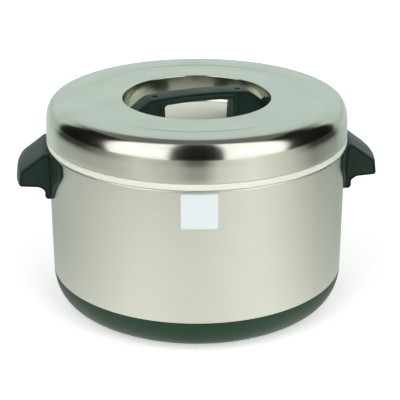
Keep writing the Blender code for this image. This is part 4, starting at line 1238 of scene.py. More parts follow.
@dataclass
class Tub:
    """The turned pieces of the body: base, wall, mouth ring, pot and seal."""

    shop: Workshop
    radius: float = field(default_factory=lambda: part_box("outer_shell")[1].x)
    seam: float = field(default_factory=lambda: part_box("outer_shell")[0].z - SEAT_GAP)
    sheet: float = 0.8 * MM
    tuck: float = 2.6 * MM
    tuck_height: float = 3.8 * MM
    tuck_turn: float = 1.35
    tuck_stand: float = 0.5 * MM  # of the tucked edge, above the ring's lower edge
    wall_edge: float = 0.3 * MM
    wall_steps: int = 24
    ring_cover: float = 4.9 * MM
    ring_step: tuple[float, float, float] = (4.0 * MM, 4.3 * MM, 1.2 * MM)  # inwards below, above, and high
    ring_rebate: float = 2.6 * MM
    ring_web: float = 1.5 * MM
    ring_lip: tuple[float, float] = (2.0 * MM, 4.5 * MM)  # thick and deep
    ring_radii_mm: tuple[float, ...] = (0.9, 1.6, 0.3, 0.3, 0.5, 0.2, 0.2, 0.5, 0.5, 0.5, 0.3, 0.3)
    pot_inside: float = 176.0 * MM
    pot_sheet: float = 1.0 * MM
    pot_corner: float = 24.0 * MM
    pot_lip: float = 2.5 * MM
    seal_width: float = 5.0 * MM
    seal_corner: float = 0.45 * MM
    base_tuck: float = 28.0 * MM
    base_wall: float = 3.0 * MM
    base_edge: float = 0.6 * MM
    base_edge_slope: float = 0.02 * MM
    base_edge_corner: float = 0.5 * MM
    base_land: float = 2.0 * MM
    hole_radius: float = 18.0 * MM
    hole_rim: tuple[float, float] = (22.3 * MM, 1.6 * MM)  # the radius and depth of the plug's seat
    boss_radius: float = 5.5 * MM
    boss_height: float = 10.0 * MM
    boss_sink: float = 1.0 * MM
    plug_radius: float = 17.7 * MM
    plug_flange: float = 1.3 * MM
    plug_dish: tuple[float, float, float] = (9.0 * MM, 11.0 * MM, 0.5 * MM)  # inner, outer radius, depth
    plug_radii_mm: tuple[float, ...] = (0.0, 1.0, 1.0, 0.5, 0.3, 0.3, 0.8, 0.0)
    feet: int = 4
    foot_inset: float = 19.0 * MM
    foot_radius: float = 14.0 * MM
    foot_socket: float = 1.2 * MM
    foot_web: float = 0.9 * MM
    foot_radii_mm: tuple[float, ...] = (0.1, 0.3, 0.4, 0.8, 0.2, 0.1)
    foot_screw: ScrewSize = ScrewSize(4.0 * MM, 1.2 * MM, 10.0 * MM)

    def ring_low(self) -> float:
        """Height of the ring's lower edge on the outside of the wall."""
        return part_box("outer_shell")[1].z - self.ring_cover

    def make_wall(self) -> None:
        """The straight brushed wall, its top edge tucked in under the mouth ring by a quarter ellipse."""
        low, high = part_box("outer_shell")
        turn = np.linspace(0.0, self.tuck_turn, 12)
        tuck = np.column_stack([self.radius - self.tuck * (1.0 - np.cos(turn)),
                                self.ring_low() - SEAT_GAP - self.tuck_height * (1.0 - np.sin(turn))])
        straight = np.linspace(low.z + self.wall_edge, tuck[0, 1] - self.wall_edge, self.wall_steps)
        inner = self.radius - self.tuck
        path = np.vstack([np.column_stack([np.full(self.wall_steps, self.radius), straight]), tuck,
                          [(inner, self.ring_low() + self.tuck_stand), (inner, high.z)]])
        self.shop.turned("wall_sheet", thick_line(path, -self.sheet), 256, Slot.SATIN_STEEL, Assembly.BODY,
                         "outer_shell", closed=True)

    def make_ring(self) -> None:
        """The ivory ring: a bead with softened edges, a drip lip below and a ledge for the pot's flange."""
        outer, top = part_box("rim_ring")[1].x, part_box("rim_ring")[1].z
        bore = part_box("inner_pot")[1].x + SEAT_GAP
        pot = self.pot_inside + self.pot_sheet + SEAT_GAP
        rebate = top - self.ring_rebate
        web = rebate - self.ring_web
        lip_width, lip_depth = self.ring_lip
        lip = web - lip_depth
        skirt = self.radius - self.tuck + SEAT_GAP
        foot, head, height = self.ring_step
        step = top - height
        corners = np.array([
            (outer, self.ring_low()), (outer, step), (outer - foot, step), (outer - head, top),
            (bore, top), (bore, rebate), (pot, rebate), (pot, lip), (pot + lip_width, lip),
            (pot + lip_width, web), (skirt, web), (skirt, self.ring_low()),
        ])
        profile = rounded(corners, np.array(self.ring_radii_mm) * MM, 8)
        self.shop.turned("mouth_ring", profile, 256, Slot.IVORY_PLASTIC, Assembly.BODY, "rim_ring",
                         closed=True)

    def make_pot(self) -> None:
        """The deep-drawn pot: flat floor, round corner, straight wall, and a flange hung on the ring."""
        low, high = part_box("inner_pot")
        floor, inside = low.z + self.pot_sheet, self.pot_inside
        corners = np.array([(0.0, floor), (inside, floor), (inside, high.z), (high.x, high.z)])
        path = rounded(corners, (0.0, self.pot_corner, self.pot_lip, 0.0), 16, closed=False)
        profile = pan_profile(path, self.pot_sheet)
        self.shop.turned("rice_pot", profile, 224, Slot.SATIN_STEEL, Assembly.BODY, "inner_pot")

    def make_seal(self) -> None:
        """The soft seal between the pot's flange and the ring, a flat band with round edges."""
        low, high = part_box("rim_seal")
        outline = rectangle((high.x - self.seal_width, low.z), (high.x, high.z))
        profile = rounded(outline, [self.seal_corner] * 4, 6)
        self.shop.turned("seal_ring", profile, 192, Slot.SILICONE, Assembly.BODY, "rim_seal", closed=True)

    def base_side(self, gap: float) -> np.ndarray:
        """The cup's side drawn in by a quarter ellipse, or a wall inside it.

        Args:
            gap: how far inside the outer face the line lies.

        Returns:
            (n, 2) radii and heights, from the underside up.
        """
        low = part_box("base_cup")[0].z
        turn = np.linspace(0.0, QUARTER, 28)
        flat = self.radius - self.base_tuck
        return np.column_stack([flat + (self.base_tuck - gap) * np.sin(turn),
                                low + gap + (self.seam - low - gap) * (1.0 - np.cos(turn))])

    def foot_places(self) -> list[Matrix]:
        """The feet's places: out to the feet's circle and turned round Z by equal steps.

        Returns:
            One placement for each foot.
        """
        out = Matrix.Translation((self.radius - self.base_tuck - self.foot_inset, 0.0, 0.0))
        turns = TAU * (np.arange(self.feet) + 0.5) / self.feet
        return [Matrix.Rotation(turn, 4, "Z") @ out for turn in turns]

    def make_base(self) -> None:
        """The moulded cup with its collar, foot sockets and filling hole."""
        low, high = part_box("base_cup")
        seam, below = self.seam, self.seam - self.base_edge
        outer = self.base_side(0.0)
        outer = outer[outer[:, 1] < below]
        side, land = self.radius - self.base_edge_slope, self.radius - self.base_land
        corners = np.array([(side, below), (self.radius, seam), (land, seam)])
        edge = rounded(corners, (0.0, self.base_edge_corner, 0.0), 5, closed=False)
        collar = self.radius - self.sheet - SEAT_GAP
        inside = self.radius - self.base_wall
        floor = low.z + self.base_wall
        rim, seat = self.hole_rim
        profile = np.vstack([
            [(self.hole_radius, floor), (self.hole_radius, low.z + seat), (rim, low.z + seat), (rim, low.z)],
            outer, edge, [(collar, seam), (collar, high.z), (inside, high.z)],
            self.base_side(self.base_wall)[::-1],
        ])
        cup = solid("base_moulding", revolved("base_moulding", profile, 224, closed=True))
        under, boss_top = low.z - OVERRUN, floor + self.boss_height
        bores = (("UNION", "boss", self.boss_radius, floor - self.boss_sink, boss_top, 32),
                 ("DIFFERENCE", "socket", self.foot_radius + SEAT_GAP, under, low.z + self.foot_socket, 48),
                 ("DIFFERENCE", "bore", self.foot_screw.bore(), under, boss_top + OVERRUN, 32))
        steps = []
        for operation, name, radius, start, end, segments in bores:
            for number, place in enumerate(self.foot_places()):
                x, y, _ = place.translation
                bar = bar_between(f"{name}_{number}", radius, (x, y, start), (x, y, end), segments)
                steps.append((operation, bar))
        carved(cup, steps)
        self.shop.dress(cup, Slot.BASE_PLASTIC, Assembly.BODY, ["base_cup"])

    def make_plug(self) -> None:
        """The plug of the filling hole: a flange with a shallow dish in its middle, on a short stopper."""
        low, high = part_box("fill_plug")
        flat, edge, depth = self.plug_dish
        flange = low.z + self.plug_flange
        corners = np.array([
            (0.0, low.z + depth), (flat, low.z + depth), (edge, low.z), (high.x, low.z), (high.x, flange),
            (self.plug_radius, flange), (self.plug_radius, high.z), (0.0, high.z),
        ])
        profile = rounded(corners, np.array(self.plug_radii_mm) * MM, 5, closed=False)
        self.shop.turned("foam_hole_plug", profile, 64, Slot.BASE_PLASTIC, Assembly.BODY, "fill_plug")

    def make_feet(self) -> None:
        """Four turned rubber feet, each a cup round its screw's head, and their screws."""
        screws = ScrewMaker(self.shop)
        size = self.foot_screw
        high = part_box("foot_pad_1")[1].z
        web = high - self.foot_web
        hole, cup = size.bore(), size.head_radius + SEAT_GAP
        outer = self.foot_radius
        corners = np.array([(hole, web), (cup, web), (cup, 0.0), (outer, 0.0), (outer, high), (hole, high)])
        profile = rounded(corners, np.array(self.foot_radii_mm) * MM, 6)
        shape = revolved("foot_shape", profile, 64, closed=True)
        seat = Matrix.Translation((0.0, 0.0, web - SEAT_GAP)) @ Matrix.Rotation(math.pi, 4, "X")
        for number, place in enumerate(self.foot_places(), 1):
            pad = solid(f"rubber_foot_{number}", turned_copy(shape, place))
            self.shop.dress(pad, Slot.FOOT_RUBBER, Assembly.BODY, [f"foot_pad_{number}"])
            screws.make(f"foot_screw_{number}", size, place @ seat, Assembly.BODY)

    def build(self) -> None:
        """Make the body's turned pieces."""
        self.make_base()
        self.make_plug()
        self.make_feet()
        self.make_wall()
        self.make_ring()
        self.make_pot()
        self.make_seal()
        self.shop.keep(Slot.FOAM, "body_insulation")


@dataclass
class FrontLabel:
    """The plain pale film on the front of the wall."""

    shop: Workshop
    side: float = 45.0 * MM
    corner: float = 2.0 * MM
    edge: float = 0.15 * MM
    edge_share: float = 0.7
    azimuth: float = math.radians(-4.5)
    thickness: float = 0.3 * MM
    rows: int = 12

    def build(self) -> None:
        """Wrap a square with rounded corners round the wall.

        The square's outline is scaled by a factor from 0 to 1 for the back, and from 1 to 0 for the face.
        Each flat point (a, z) goes to the wall at the angle a / R.
        """
        low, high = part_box("front_label")
        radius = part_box("outer_shell")[1].x + SEAT_GAP
        half = self.side / 2
        outline = rounded(rectangle((-half, -half), (half, half)), [self.corner] * 4, 8)
        between = (outline + np.roll(outline, -1, axis=0)) / 2
        outline = np.concatenate([outline, between], axis=1).reshape(-1, 2)
        scale = np.concatenate([np.linspace(0.0, 1.0, self.rows), [1.0], np.linspace(1.0, 0.0, self.rows)])
        scale[self.rows + 1] = 1.0 - self.edge / half
        lift = np.concatenate([np.zeros(self.rows), [self.thickness * self.edge_share],
                               np.full(self.rows, self.thickness)])
        flat = outline[None] * scale[:, None, None]
        angle = flat[..., 0] / radius - QUARTER + self.azimuth
        rho = radius + lift[:, None]
        height = (low.z + high.z) / 2 + flat[..., 1]
        points = np.stack([rho * np.cos(angle), rho * np.sin(angle), height], axis=-1)
        quads = grid_faces(len(scale), len(outline), wrap=True)
        label = solid("label_film", mesh_from("label_film", points, quads))
        self.shop.dress(label, Slot.LABEL_FILM, Assembly.BODY, ["front_label"])


@dataclass
class SideHandle:
    """One black side grip: a hollow hood on wings that hug the wall."""

    shop: Workshop
    wall_radius: float = field(default_factory=lambda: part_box("outer_shell")[1].x)
    wall_top: float = field(default_factory=lambda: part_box("outer_shell")[1].z)
    half_width: float = 44.0 * MM
    reach: float = 39.0 * MM
    bow: float = 5.2 * MM
    crown: float = 1.2 * MM
    shelf: float = 6.0 * MM
    nose_drop: float = 22.8 * MM
    nose_height: float = 20.3 * MM
    nose_lean: float = 2.6 * MM
    throat: tuple[float, float] = (13.0 * MM, 4.875 * MM)  # out from the wall, and up from the leg's top
    leg_top_drop: float = 50.0 * MM
    leg_drop: float = 62.0 * MM
    leg_thickness: float = 5.7 * MM
    hood_radii_mm: tuple[float, ...] = (0.4, 4.6, 5.0, 9.0, 3.6, 7.0, 9.0, 1.5)
    wall: float = 5.0 * MM
    back: float = 5.3 * MM
    pocket_fillet: float = 2.5 * MM
    pocket_radii_mm: tuple[float, ...] = (0.5, 0.5, 4.0, 2.0, 0.3)
    fillet: float = 1.5 * MM
    groove_edge: float = 0.35 * MM
    groove_lean: float = 0.10 * MM
    groove_width: float = 1.5 * MM
    groove_rise: float = 0.30 * MM
    groove_depth: float = 1.3 * MM
    cap_step: float = 0.1 * MM
    wing_spread: float = 42.8 * MM
    wing_thickness: float = 2.8 * MM
    wing_fillet: float = 1.2 * MM
    wing_ceiling: float = 5.4 * MM
    wing_centre_share: float = 0.33
    wing_shares: tuple[tuple[float, float], ...] = (  # of the spread beyond the hood, and of the legs' drop
        (0.1, -0.06), (0.96, 0.02), (1.0, 0.06), (1.0, 0.25), (0.86, 0.38), (0.53, 0.61), (0.35, 0.75),
        (0.1, 0.97))
    wing_radii_mm: tuple[float, ...] = (3.0, 2.0, 3.0, 8.0, 12.0, 14.0, 12.0, 4.0)
    arch_rise: float = 21.0 * MM
    arch_margin: float = 1.0 * MM
    arch_shares: tuple[tuple[float, float], ...] = ((1.0, 0.35), (0.86, 0.62), (0.62, 0.84), (0.3, 1.0))
    arch_radii_mm: tuple[float, ...] = (0.5, 4.0, 6.0, 10.0, 14.0)
    arch_behind: float = 30.0 * MM
    bore_behind: float = 20.0 * MM
    screw_span: float = 50.0 * MM
    screw_drop: float = 25.5 * MM
    screw_seat: float = 2.6 * MM
    seat_radius: float = 4.6 * MM
    screw: ScrewSize = ScrewSize(4.0 * MM, 2.4 * MM, 13.0 * MM)

    def top(self) -> float:
        """Height of the handle's top at its sides."""
        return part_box("right_handle")[1].z - self.crown

    def slices(self, y: np.ndarray, distance: np.ndarray, thick: float = 0.0) -> np.ndarray:
        """Upright slices of the hood at places across it, drawn in towards its ends.

        Args:
            y: (n,) places across the handle.
            distance: how far each slice is drawn in.
            thick: 0 for the outside, or the wall's thickness for the finger pocket.

        Returns:
            (n, points, 3) loops.
        """
        bow = 1.0 - np.clip(np.abs(y) / self.half_width, 0.0, 1.0) ** 2
        reach = self.reach + self.bow * bow - thick
        top = self.top() + self.crown * bow - thick
        nose_top = self.top() - self.nose_drop - 0.5 * thick
        tip = self.top() - self.leg_drop
        gap = self.back if thick else SEAT_GAP
        back = np.sqrt((self.wall_radius + gap) ** 2 - y ** 2) - self.wall_radius
        upper = [(reach - self.nose_lean, nose_top), (self.shelf, top), (back, top)]
        if thick:
            below = tip - OVERRUN
            corners = [(back, below), (reach, below)] + upper
            radii = self.pocket_radii_mm
        else:
            leg, leg_top = self.leg_thickness, self.top() - self.leg_top_drop
            out, up = self.throat
            corners = [(back, tip), (leg, tip), (leg, leg_top), (out, leg_top + up),
                       (reach, self.top() - self.nose_drop - self.nose_height)] + upper
            radii = self.hood_radii_mm
        stacked = np.stack([np.stack([np.broadcast_to(value, y.shape) for value in corner], axis=-1)
                            for corner in corners], axis=-2)
        outline = rounded(*drawn_in(stacked, np.array(radii) * MM, distance), 9)
        x = self.wall_radius + outline[..., 0]
        return np.stack([x, np.broadcast_to(y[:, None], x.shape), outline[..., 1]], axis=-1)

    def across(self, name: str, ends: tuple[np.ndarray, np.ndarray], flat: float, steps: int,
               thick: float = 0.0) -> bpy.types.Object:
        """A solid of slices from one side to the other, with the same end on both sides.

        Args:
            name: the solid's name.
            ends: places across the handle at one end, and how far each of their slices is drawn in.
            flat: where the slices between the ends stop.
            steps: how many slices lie between the ends.
            thick: 0 for the outside, or the wall's thickness for the finger pocket.

        Returns:
            The closed solid.
        """
        end_y, end_inset = ends
        y = np.concatenate([-end_y[::-1], np.linspace(-flat, flat, steps), end_y])
        distance = np.concatenate([end_inset[::-1], np.zeros(steps), end_inset])
        return solid(name, lofted(name, self.slices(y, distance, thick)))

    def hood(self) -> bpy.types.Object:
        """The hood's outside: slices across the handle, drawn in at each end by a fillet and a groove.

        Near an end the slice at the side is moved inwards by d while y follows the fillet's arc:
        d = f (1 - cos t), y = h - f + f sin t. Then a small groove is stepped into the flat side.

        Returns:
            The closed solid.
        """
        f, h = self.fillet, self.half_width
        lean = np.linspace(0.0, QUARTER, 7)[1:]
        steps = np.cumsum((self.groove_edge, self.groove_lean, self.groove_width, self.groove_rise))
        depths = np.array((0.0, self.groove_depth, self.groove_depth, self.cap_step))
        ends = (np.concatenate([h - f + f * np.sin(lean), h - depths]),
                np.concatenate([f * (1.0 - np.cos(lean)), f + steps]))
        return self.across("hood", ends, h - f, 45)

    def pocket(self) -> bpy.types.Object:
        """The finger pocket: slices a wall inside the hood, drawn in at each end by a fillet.

        Returns:
            The closed tool.
        """
        f, h = self.pocket_fillet, self.half_width - self.wall
        lean = np.linspace(0.0, QUARTER, 6)[1:]
        ends = (h - f + f * np.sin(lean), f * (1.0 - np.cos(lean)))
        return self.across("pocket", ends, h - f, 31, self.wall)

    def wings(self) -> bpy.types.Object:
        """The wings and legs: a plate round the wall, its outline scaled towards the middle row by row.

        The outline O(s) about a centre C gives C + k (O(s) - C); the plate's face rolls over at its edge by
        a quarter circle, and every flat point (a, z) goes to the wall at the angle asin(a / R).

        Returns:
            The closed plate.
        """
        top, drop = self.top(), self.leg_drop
        ceiling = self.wall_top - self.wing_ceiling
        right = [(self.half_width + self.wing_spread * out, min(top - drop * down, ceiling))
                 for out, down in self.wing_shares]
        corners = np.array(right + [(-y, z) for y, z in right[::-1]])[::-1]
        radii = np.array(self.wing_radii_mm + self.wing_radii_mm[::-1]) * MM
        outline = rounded(corners, radii, 6)
        f, thick = self.wing_fillet, self.wing_thickness
        lean = np.linspace(0.0, QUARTER, 6)
        centre = np.array((0.0, top - self.wing_centre_share * drop))
        arms = np.linalg.norm(outline - centre, axis=1)
        edge = 1.0 - f * (1.0 - np.cos(lean))[:, None] / arms[None]
        inside = np.linspace(1.0, 0.0, 9)[1:, None] * edge[-1:]
        rows = np.concatenate([inside[::-1], np.ones((1, len(outline))), edge, inside])
        lift = np.concatenate([np.zeros(len(inside) + 1), thick - f + f * np.sin(lean),
                               np.full(len(inside), thick)])
        flat = centre + rows[..., None] * (outline - centre)
        rho = self.wall_radius + SEAT_GAP + lift[:, None]
        angle = np.arcsin(flat[..., 0] / (self.wall_radius + SEAT_GAP))
        points = np.stack([rho * np.cos(angle), rho * np.sin(angle), flat[..., 1]], axis=-1)
        return solid("wings", mesh_from("wings", points, grid_faces(len(rows), len(outline), wrap=True)))

    def arch(self) -> bpy.types.Object:
        """The arch between the legs, carried along X through the back wall.

        Returns:
            The closed tool.
        """
        inner = self.half_width - self.wall - self.arch_margin
        low = self.top() - self.leg_drop
        half = [(inner, low - OVERRUN)]
        half += [(inner * out, low + self.arch_rise * up) for out, up in self.arch_shares]
        corners = np.array(half + [(-y, z) for y, z in half[::-1]])
        outline = rounded(corners, np.array(self.arch_radii_mm + self.arch_radii_mm[::-1]) * MM, 6)
        places = (self.wall_radius - self.arch_behind, self.wall_radius + self.back + OVERRUN)
        return solid("arch", lofted("arch", at_levels(outline, places)[..., (2, 0, 1)]))

    def build(self) -> None:
        """Carve one handle, turn a copy to the other side, and make the screws."""
        grip = self.hood()
        height = self.top() - self.screw_drop
        steps = [("UNION", self.wings()), ("DIFFERENCE", self.pocket()), ("DIFFERENCE", self.arch())]
        seat = self.wall_radius + self.screw_seat
        behind = self.wall_radius - self.bore_behind
        bores = (("bore", self.screw.bore(), behind), ("seat", self.seat_radius, seat))
        for side in (-1, 1):
            y = side * self.screw_span / 2
            far = (self.wall_radius + 2 * self.back, y, height)
            for name, radius, start in bores:
                bore = bar_between(f"handle_{name}_{side}", radius, (start, y, height), far)
                steps.append(("DIFFERENCE", bore))
        carved(grip, steps)
        screws = ScrewMaker(self.shop)
        for name, turn in (("right", 0.0), ("left", math.pi)):
            around = Matrix.Rotation(turn, 4, "Z")
            piece = solid(f"{name}_grip", turned_copy(grip.data, around))
            self.shop.dress(piece, Slot.BLACK_PLASTIC, Assembly.BODY, [f"{name}_handle"])
            for number, side in enumerate((-1, 1), 1):
                place = Matrix.Translation((seat + SEAT_GAP, side * self.screw_span / 2, height))
                place = around @ place @ Matrix.Rotation(QUARTER, 4, "Y")
                screws.make(f"{name}_handle_screw_{number}", self.screw, place, Assembly.BODY)
                self.shop.keep(Slot.PLATED_STEEL, f"{name}_handle_nut_{number}")
            self.shop.keep(Slot.PLATED_STEEL, f"{name}_handle_plate")
        bpy.data.objects.remove(grip, do_unlink=True)


# The studio

@dataclass(frozen=True)
class Lamp:
    """One soft square lamp: its power in watts, its side in metres, its place and the point it faces."""

    name: str
    power: float
    size: float
    place: tuple[float, float, float]
    aim: tuple[float, float, float]

    def build(self) -> None:
        """Hang the lamp in the scene."""
        light = bpy.data.lights.new(self.name, "AREA")
        light.energy = self.power
        light.size = self.size
        lamp = solid(self.name, light)
        lamp.location = self.place
        lamp.rotation_euler = (Vector(self.aim) - Vector(self.place)).to_track_quat("-Z", "Y").to_euler()


@dataclass
class Studio:
    """The pale floor, the room that the metal mirrors, the lamps and the camera.

    Directions are given as X towards the camera, Y to its right and Z up.
    """

    lens_mm: float = 102.85
    sensor_mm: float = 36.0
    camera_place: tuple[float, float, float] = (-0.13795, -1.45107, 0.7247)
    camera_turn: tuple[float, float, float] = (math.radians(67.755), 0.0, math.radians(-5.6))
    floor_size: float = 8.0
    floor_colour: str = "#FAFAF8"
    floor_cloud: str = "#F7F7F5"
    floor_roughness: float = 0.9
    facing: float = math.radians(-95.4)  # the way from the object towards the camera, round Z from +X
    room_strength: float = 2.1
    window_colour: str = "#FFFFFF"
    backdrop_colour: str = "#ADB8B5"
    dark_colour: str = "#11110C"
    outer_edge: tuple[float, float, float] = (0.475, -0.19, 0.11)  # of the two windows, on X, |Y| and Z
    outer_reach: tuple[float, float] = (-0.02, 0.03)
    inner_edge: tuple[float, float, float] = (-0.22, 1.0, 0.0)
    inner_reach: tuple[float, float] = (0.12, 0.145)
    front_reach: tuple[float, float] = (-0.20, 0.06)
    front_skew: float = 0.45
    back_reach: tuple[float, float] = (-0.50, -0.56)
    back_top: tuple[float, float] = (math.radians(43.0), math.radians(33.0))
    back_foot: tuple[float, float] = (math.radians(4.0), math.radians(16.5))
    back_foot_share: float = 0.80
    floor_glow: float = 0.44
    table_strength: float = 1.5
    near_table: tuple[tuple[float, float], ...] = (
        (0.0, 0.31), (0.17, 0.36), (0.28, 0.57), (0.41, 0.91), (0.5, 0.78), (0.6, 0.97), (0.72, 0.57),
        (0.83, 0.38), (1.0, 0.31))
    far_table: tuple[tuple[float, float], ...] = (
        (0.0, 0.36), (0.17, 0.58), (0.25, 0.64), (0.32, 0.66), (0.40, 0.77), (0.465, 0.68), (0.488, 0.64),
        (0.512, 0.64), (0.535, 0.82), (0.60, 1.0), (0.68, 0.69), (0.74, 0.44), (0.83, 0.41), (1.0, 0.36))
    edge_table: tuple[tuple[float, float], ...] = (
        (0.0, 0.55), (0.155, 0.50), (0.185, 0.02), (0.26, 0.02), (0.31, 0.20), (0.39, 0.72), (0.46, 0.45),
        (0.488, 0.10), (0.512, 0.10), (0.54, 0.65), (0.60, 1.0), (0.69, 0.62), (0.74, 0.02), (0.82, 0.02),
        (0.85, 0.50), (1.0, 0.55))
    table_reach: tuple[float, float] = (0.52, 0.70)
    edge_reach: tuple[float, float] = (0.74, 1.25)
    green_side: tuple[float, float] = (0.20, 0.10)  # where the green begins, and over how wide a share
    green_tint: tuple[float, float, float] = (-0.04, 0.08, 0.06)
    blue_share: float = 0.95
    lamps: tuple[Lamp, ...] = (
        Lamp("ceiling_panel", 3.8, 2.2, (0.0, 0.95, 2.2), (0.0, 0.95, 0.0)),
        Lamp("left_softbox", 1.5, 1.2, (-1.4, -1.5, 1.1), (0.0, 0.0, 0.15)),
        Lamp("right_softbox", 1.5, 1.2, (1.3, -1.6, 1.1), (0.0, 0.0, 0.15)),
    )

    def make_camera(self) -> None:
        """The photograph's viewpoint: a long lens, a little above the lid."""
        lens = bpy.data.cameras.new("camera")
        lens.lens = self.lens_mm
        lens.sensor_width = self.sensor_mm
        camera = solid("camera", lens)
        camera.location = self.camera_place
        camera.rotation_euler = self.camera_turn
        bpy.context.scene.camera = camera

    def turned_parts(self, tree: bpy.types.NodeTree, source: bpy.types.NodeSocket) -> bpy.types.Node:
        """Split a direction or a place into X towards the camera, Y to its right and Z up.

        Args:
            tree: the node tree.
            source: the direction or place.

        Returns:
            The node with the three parts.
        """
        turned = add_node(tree, "ShaderNodeVectorRotate", {"rotation_type": "Z_AXIS"}, {"Vector": source},
                          {"Angle": -self.facing})
        return add_node(tree, "ShaderNodeSeparateXYZ", links={"Vector": turned.outputs["Vector"]})

    def pool_colour(self, share: float, light: float) -> tuple[float, float, float, float]:
        """A pool's linear colour, a little greener on the sides that face away from the camera.

        Args:
            share: the way round, from 0 behind the object over 0.5 towards the camera to 1.
            light: the pool's light there.

        Returns:
            The linear colour.
        """
        start, width = self.green_side
        green = min(max((abs(share - 0.5) - start) / width, 0.0), 1.0)
        red, middle, blue = (swing * green for swing in self.green_tint)
        return light * (1.0 + red), light * (1.0 + middle), light * (self.blue_share + blue), 1.0

    def table_light(self, tree: bpy.types.NodeTree, place: bpy.types.NodeSocket) -> bpy.types.NodeSocket:
        """The light of the floor as the metal sees it: two broad pools that fade and narrow further out.

        Args:
            tree: the floor's node tree.
            place: the place on the floor.

        Returns:
            The colour.
        """
        parts = self.turned_parts(tree, place)
        angle = add_node(tree, "ShaderNodeMath", {"operation": "ARCTAN2"},
                         {0: parts.outputs["Y"], 1: parts.outputs["X"]})
        share = add_node(tree, "ShaderNodeMath", {"operation": "MULTIPLY_ADD"}, {0: angle.outputs["Value"]},
                         {1: 1.0 / TAU, 2: 0.5})
        pools = [add_node(tree, "ShaderNodeValToRGB", links={"Fac": share.outputs["Value"]},
                          stops=[(x, self.pool_colour(x, light)) for x, light in table]).outputs["Color"]
                 for table in (self.near_table, self.far_table, self.edge_table)]
        away = add_node(tree, "ShaderNodeVectorMath", {"operation": "LENGTH"}, {0: place})
        light = pools[0]
        for pool, (low, high) in zip(pools[1:], (self.table_reach, self.edge_reach)):
            blend = add_node(tree, "ShaderNodeMapRange", links={"Value": away.outputs["Value"]},
                             values={"From Min": low, "From Max": high})
            light = add_node(tree, "ShaderNodeMix", {"data_type": "RGBA"},
                             {0: blend.outputs["Result"], 6: light, 7: pool}).outputs[2]
        return light

    def make_floor(self) -> None:
        """A plain pale floor, white to the camera, which mirroring rays see with its pools of light."""
        half = self.floor_size / 2
        mesh = bpy.data.meshes.new("floor")
        corners = rectangle((-half, -half), (half, half))
        mesh.from_pydata(at_levels(corners, (0.0,))[0].tolist(), [], [(0, 1, 2, 3)])
        floor = solid("floor", mesh)
        material, tree, shader = blank_material("pale_floor")
        place = add_node(tree, "ShaderNodeTexCoord")
        cloud = add_node(tree, "ShaderNodeTexNoise", links={"Vector": place.outputs["Object"]},
                         values={"Scale": 3.0})
        tint = add_node(tree, "ShaderNodeValToRGB", links={"Fac": cloud.outputs["Fac"]},
                        stops=((0.3, linear(self.floor_cloud)), (0.7, linear(self.floor_colour))))
        path = add_node(tree, "ShaderNodeLightPath")
        camera, glossy = path.outputs["Is Camera Ray"], path.outputs["Is Glossy Ray"]
        base = add_node(tree, "ShaderNodeMix", {"data_type": "RGBA"}, {0: glossy, 6: tint.outputs["Color"]},
                        {7: linear("#000000")})
        mirrored = add_node(tree, "ShaderNodeMath", {"operation": "MULTIPLY"}, {0: glossy},
                            {1: self.table_strength})
        glow = add_node(tree, "ShaderNodeMath", {"operation": "MULTIPLY_ADD"},
                        {0: camera, 2: mirrored.outputs["Value"]}, {1: self.floor_glow})
        table = self.table_light(tree, place.outputs["Object"])
        colour = add_node(tree, "ShaderNodeMix", {"data_type": "RGBA"}, {0: glossy, 7: table},
                          {6: linear("#FFFFFF")})
        feed(tree, shader, {"Base Color": base.outputs[2], "Emission Strength": glow.outputs["Value"],
                            "Emission Color": colour.outputs[2]}, {"Roughness": self.floor_roughness})
        mesh.materials.append(material)

    def lit_area(self, tree: bpy.types.NodeTree, edges: Sequence[tuple]) -> bpy.types.NodeSocket:
        """One lit area of the room: the product of its soft edges.

        Args:
            tree: the world's node tree.
            edges: for each edge its source, the values at which it is dark and lit, and its least light.

        Returns:
            The light, from 0 to 1.
        """
        area = None
        for source, (dark, lit), least in edges:
            edge = add_node(tree, "ShaderNodeMapRange", links={"Value": source},
                            values={"From Min": dark, "From Max": lit, "To Min": least}).outputs["Result"]
            if area is not None:
                edge = add_node(tree, "ShaderNodeMath", {"operation": "MULTIPLY"},
                                {0: area, 1: edge}).outputs["Value"]
            area = edge
        return area

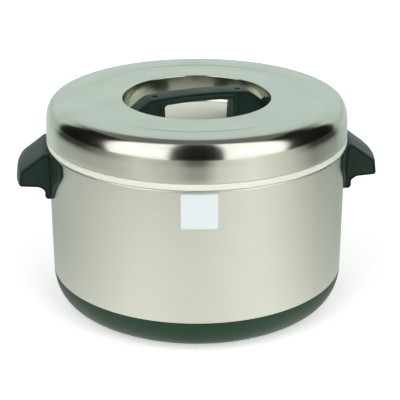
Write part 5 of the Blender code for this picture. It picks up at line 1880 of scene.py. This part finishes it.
    def make_world(self) -> None:
        """A dark room with a pale backdrop and two tall windows beside the camera.

        Each window lies between an inner and an outer plane through the object, and in front of it. The
        camera itself sees plain white.
        """
        world = bpy.data.worlds.new("studio")
        bpy.context.scene.world = world
        world.use_nodes = True
        tree = world.node_tree
        place = add_node(tree, "ShaderNodeTexCoord")
        x, y, z = self.turned_parts(tree, place.outputs["Generated"]).outputs
        side = add_node(tree, "ShaderNodeMath", {"operation": "ABSOLUTE"}, {0: y})
        folded = add_node(tree, "ShaderNodeCombineXYZ", links={"X": x, "Y": side.outputs["Value"], "Z": z})
        outer, inner = (add_node(tree, "ShaderNodeVectorMath", {"operation": "DOT_PRODUCT"},
                                 {0: folded.outputs["Vector"]}, {1: plane}).outputs["Value"]
                        for plane in (self.outer_edge, self.inner_edge))
        right = add_node(tree, "ShaderNodeMath", {"operation": "MAXIMUM"}, {0: y}, {1: 0.0})
        front = add_node(tree, "ShaderNodeMath", {"operation": "MULTIPLY_ADD"},
                         {0: right.outputs["Value"], 2: x}, {1: self.front_skew})
        rise = add_node(tree, "ShaderNodeMath", {"operation": "ARCSINE"}, {0: z}).outputs["Value"]
        window = self.lit_area(tree, ((outer, self.outer_reach, 0.0), (inner, self.inner_reach, 0.0),
                                      (front.outputs["Value"], self.front_reach, 0.0)))
        backdrop = self.lit_area(tree, ((x, self.back_reach, 0.0), (rise, self.back_top, 0.0),
                                        (rise, self.back_foot, self.back_foot_share)))
        room = add_node(tree, "ShaderNodeMix", {"data_type": "RGBA"}, {0: backdrop},
                        {6: linear(self.dark_colour), 7: linear(self.backdrop_colour)})
        path = add_node(tree, "ShaderNodeLightPath")
        seen = room.outputs[2]
        for area, colour in ((window, self.window_colour), (path.outputs["Is Camera Ray"], "#FFFFFF")):
            seen = add_node(tree, "ShaderNodeMix", {"data_type": "RGBA"}, {0: area, 6: seen},
                            {7: linear(colour)}).outputs[2]
        strength = add_node(tree, "ShaderNodeMapRange", links={"Value": path.outputs["Is Camera Ray"]},
                            values={"To Min": self.room_strength, "To Max": 1.0})
        feed(tree, tree.nodes["Background"], {"Color": seen, "Strength": strength.outputs["Result"]})

    def build(self) -> None:
        """Set up the whole studio."""
        self.make_camera()
        self.make_floor()
        self.make_world()
        for lamp in self.lamps:
            lamp.build()
        bpy.context.scene.view_settings.view_transform = "Standard"


def main() -> None:
    """Build the studio, the body and the lid."""
    logging.basicConfig(level=logging.INFO, format="%(message)s")
    Studio().build()
    shop = Workshop(PaletteOfFinishes().build())
    Tub(shop).build()
    FrontLabel(shop).build()
    SideHandle(shop).build()
    pan = LidPan(shop)
    pan.build()
    LidGrip(shop, pan).build()
    LOG.info("%d pieces made", shop.count)


if __name__ == "__main__":
    main()
